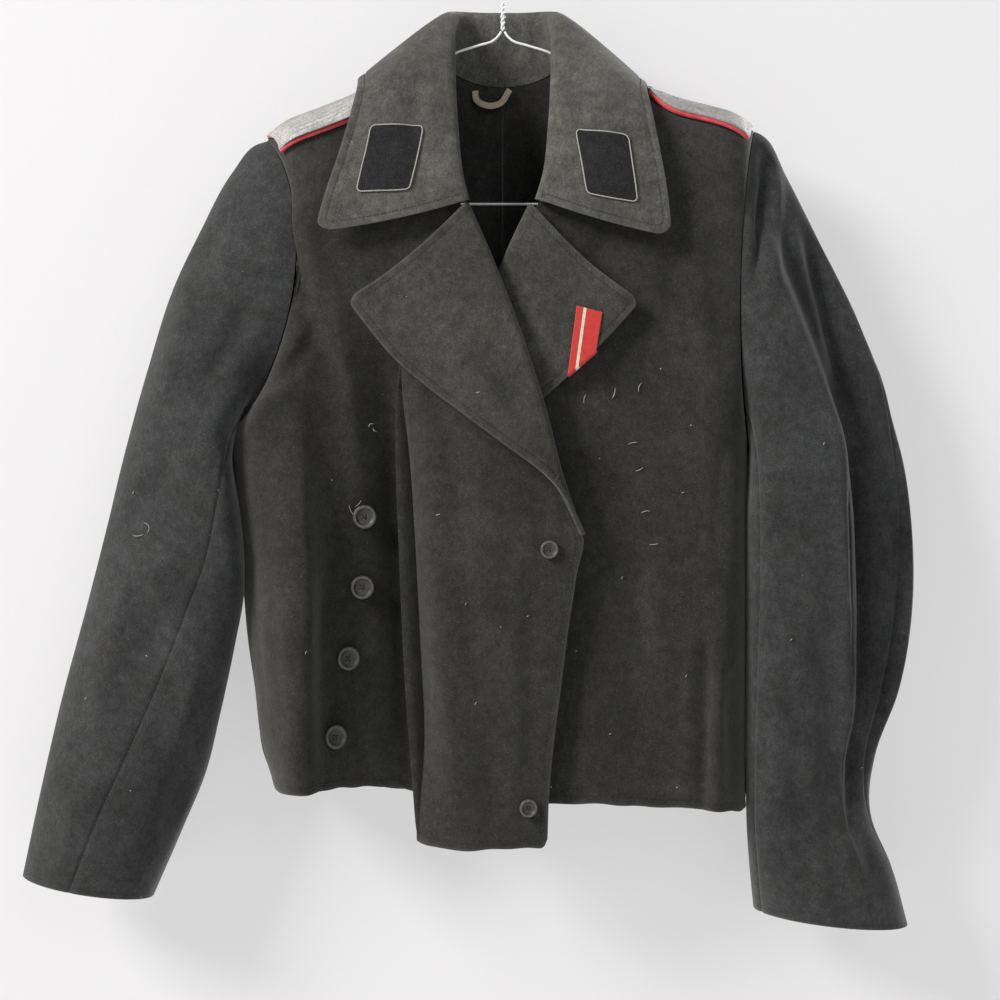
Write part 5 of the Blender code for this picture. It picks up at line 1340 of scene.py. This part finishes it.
# ------------------------------------------------------------------------------------------------
# Hanger
# One white-coated wire, bent to two arms and a bar, its two ends twisted together as the stem below the
# hook. The tunic's shoulders rest on the arms.
# ------------------------------------------------------------------------------------------------
WIRE_RADIUS, HOOK_INNER_RADIUS, STEM_TOP, STEM_BOTTOM, ARM_BELOW_SEAM = 1.05, 20.0, -52.0, -77.0, 5.5
HOOK_BEND = np.radians(np.linspace(-112, 118, 33))
HOOK_FOOT = ((12, 0, -36), (4, 0, -42), (0.5, 0, -47), (0, 0, STEM_TOP + SEAM_GAP))
# An arm from the stem out: its neck, where it follows the shoulder seam, and its lower corner
ARM_NECK = ((1.6, 0, STEM_BOTTOM - 1), (3, 0, -80.5), (8, 0, -85.5), (20, 0, -89.5), (42, 0, -97))
ARM_UNDER_SEAM = np.array((57, 88, 118))
ARM_CORNER = ((180, 0, -187), (202, 0, -207), (196, 0, -222))
ARM_STEPS, BAR_END = (3, 4, 4, 5, 3, 4, 4, 8, 5, 4), (194, 0, -224.5)
TWIST_PITCH, TWIST_POINTS, STRAND_SHARE = 9.0, 60, 0.98


def coated_wire():
    """White coating, smooth and slightly glossy, greyer where it is rubbed."""
    made, tree = new_material("white_wire_coat")
    where = object_place(tree)
    wear_and_highlight = between(tree, noise(tree, where, 210, 4, 0.6), 0.5, 0.7, 0.0, 0.6)
    colour = blend(tree, wear_and_highlight, (0.80, 0.81, 0.81, 1), (0.55, 0.55, 0.54, 1))
    rough = between(tree, noise(tree, where, 400, 2, 0.5), 0.3, 0.7, 0.28, 0.45)
    return finished(made, colour, Roughness=rough, Coat_Weight=0.3)


white_wire = coated_wire()
radius = HOOK_INNER_RADIUS + WIRE_RADIUS
round_part = xyz(radius * np.sin(HOOK_BEND), 0, radius * np.cos(HOOK_BEND) - HOOK_INNER_RADIUS)
foot = through(np.vstack([round_part[-1:], HOOK_FOOT]), (3, 3, 3, 2))
wires = {"hanger_hook": np.vstack([round_part, foot[1:]])}
for side in (RIGHT, LEFT):
    x = SIGN[side] * ARM_UNDER_SEAM
    under_seam = xyz(x, 0, shoulder_height(side, x) - ARM_BELOW_SEAM)
    neck, corner = (np.array(part) * (SIGN[side], 1, 1) for part in (ARM_NECK, ARM_CORNER))
    wires[f"hanger_arm_{side}"] = through(np.vstack([neck, under_seam, corner]), ARM_STEPS)
wires["hanger_bar"] = np.linspace(np.array(BAR_END) * (-1, 1, 1), BAR_END, 20)
for name, line in wires.items():
    points, faces = tubes(line, WIRE_RADIUS, 16)
    dress(add_mesh(f"wire_{name}", points, faces, white_wire), "wire", name)
down = np.linspace(STEM_TOP, STEM_BOTTOM, TWIST_POINTS)
turn = (down - STEM_TOP) * 2 * np.pi / TWIST_PITCH
twist = [xyz(WIRE_RADIUS * np.cos(turn + start), WIRE_RADIUS * np.sin(turn + start), down)
         for start in (0, np.pi)]
points, faces = tubes(twist, WIRE_RADIUS * STRAND_SHARE, 12)
dress(add_mesh("wire_hanger_stem", points, faces, white_wire), "wire", "hanger_stem")

# ------------------------------------------------------------------------------------------------
# Floor, wall, light and camera
# A plain pale floor below, and a plain pale wall close behind that only a viewer in front of it sees. Soft
# daylight comes from the upper left.
# ------------------------------------------------------------------------------------------------
FLOOR_HEIGHT, FLOOR_REACH, WALL_PLACE, WALL_REACH, WALL_TOP = -1600, 6000, 66, 3000, 1600
WALL_GLOW = 0.50
# Name, place in metres, size, power and colour of each light; all look at the tunic's middle
MIDDLE = (0.0, 0.0, -0.45)
LIGHTS = (("window_light", (-3.0, -2.05, 1.75), 1.3, 240, (1.0, 0.985, 0.96)),
          ("fill_light", (0.9, -2.2, 0.6), 1.2, 12, (0.93, 0.96, 1.0)),
          ("back_light", (2.3, 1.7, 0.9), 1.4, 110, (1.0, 1.0, 1.0)))
SKY, SKY_STRENGTH = (0.97, 0.98, 1.0, 1), 0.24
CAMERA_PLACE, HALF_WIDTH, SENSOR = (-0.0025, -1.3, -0.476), 0.425, 36.0


def plain(name, colour):
    """Matt paint with a faint texture."""
    made, tree = new_material(name)
    rough = noise(tree, object_place(tree), 90, 3, 0.6)
    return finished(made, (*colour, 1), rough, 0.12, 0.002, Roughness=0.9)


def flat_square(name, corners, finish):
    add_mesh(name, corners, [(0, 1, 2, 3)], finish)


square = np.array(((-1, -1), (1, -1), (1, 1), (-1, 1)))
flat_square("floor", xyz(*(square * FLOOR_REACH).T, FLOOR_HEIGHT), plain("floor_paint", (0.80, 0.80, 0.80)))
wall_paint = plain("wall_paint", (0.29, 0.285, 0.29))
tree = wall_paint.node_tree
shader = tree.nodes["Principled BSDF"]
feed(tree, shader, {"Emission Color": (1.0, 0.99, 1.0, 1), "Emission Strength": WALL_GLOW})
unseen = add_node(tree, "BsdfTransparent")
behind = add_node(tree, "NewGeometry").outputs["Backfacing"]
seen = add_node(tree, "LightPath").outputs["Is Camera Ray"]
seen = sums(tree, "MULTIPLY", seen, sums(tree, "SUBTRACT", 1.0, behind))
either = add_node(tree, "MixShader", {0: seen, 1: unseen.outputs[0], 2: shader.outputs[0]})
feed(tree, tree.nodes["Material Output"], {"Surface": either.outputs[0]})
flat_square("wall", xyz(square[:, 0] * WALL_REACH, WALL_PLACE, square[:, 1] * WALL_TOP), wall_paint)

for name, place, extent, power, colour in LIGHTS:
    light = bpy.data.lights.new(name, "AREA")
    light.size, light.energy, light.color = extent, power, colour
    lamp = bpy.data.objects.new(name, light)
    lamp.location = place
    x, y, z = np.subtract(MIDDLE, place)
    lamp.rotation_euler = (math.atan2(math.hypot(x, y), -z), 0, math.atan2(-x, y))
    bpy.context.scene.collection.objects.link(lamp)
world = bpy.data.worlds.new("studio")
bpy.context.scene.world = world
world.use_nodes = True
feed(world.node_tree, world.node_tree.nodes["Background"], {"Color": SKY, "Strength": SKY_STRENGTH})
bpy.context.scene.view_settings.view_transform = "Standard"

camera = bpy.data.cameras.new("photo_camera")
camera.sensor_width = SENSOR
camera.lens = SENSOR / 2 / (HALF_WIDTH / -CAMERA_PLACE[1])
eye = bpy.data.objects.new("photo_camera", camera)
eye.location = CAMERA_PLACE
eye.rotation_euler = (math.pi / 2, 0, 0)
bpy.context.scene.collection.objects.link(eye)
bpy.context.scene.camera = eye
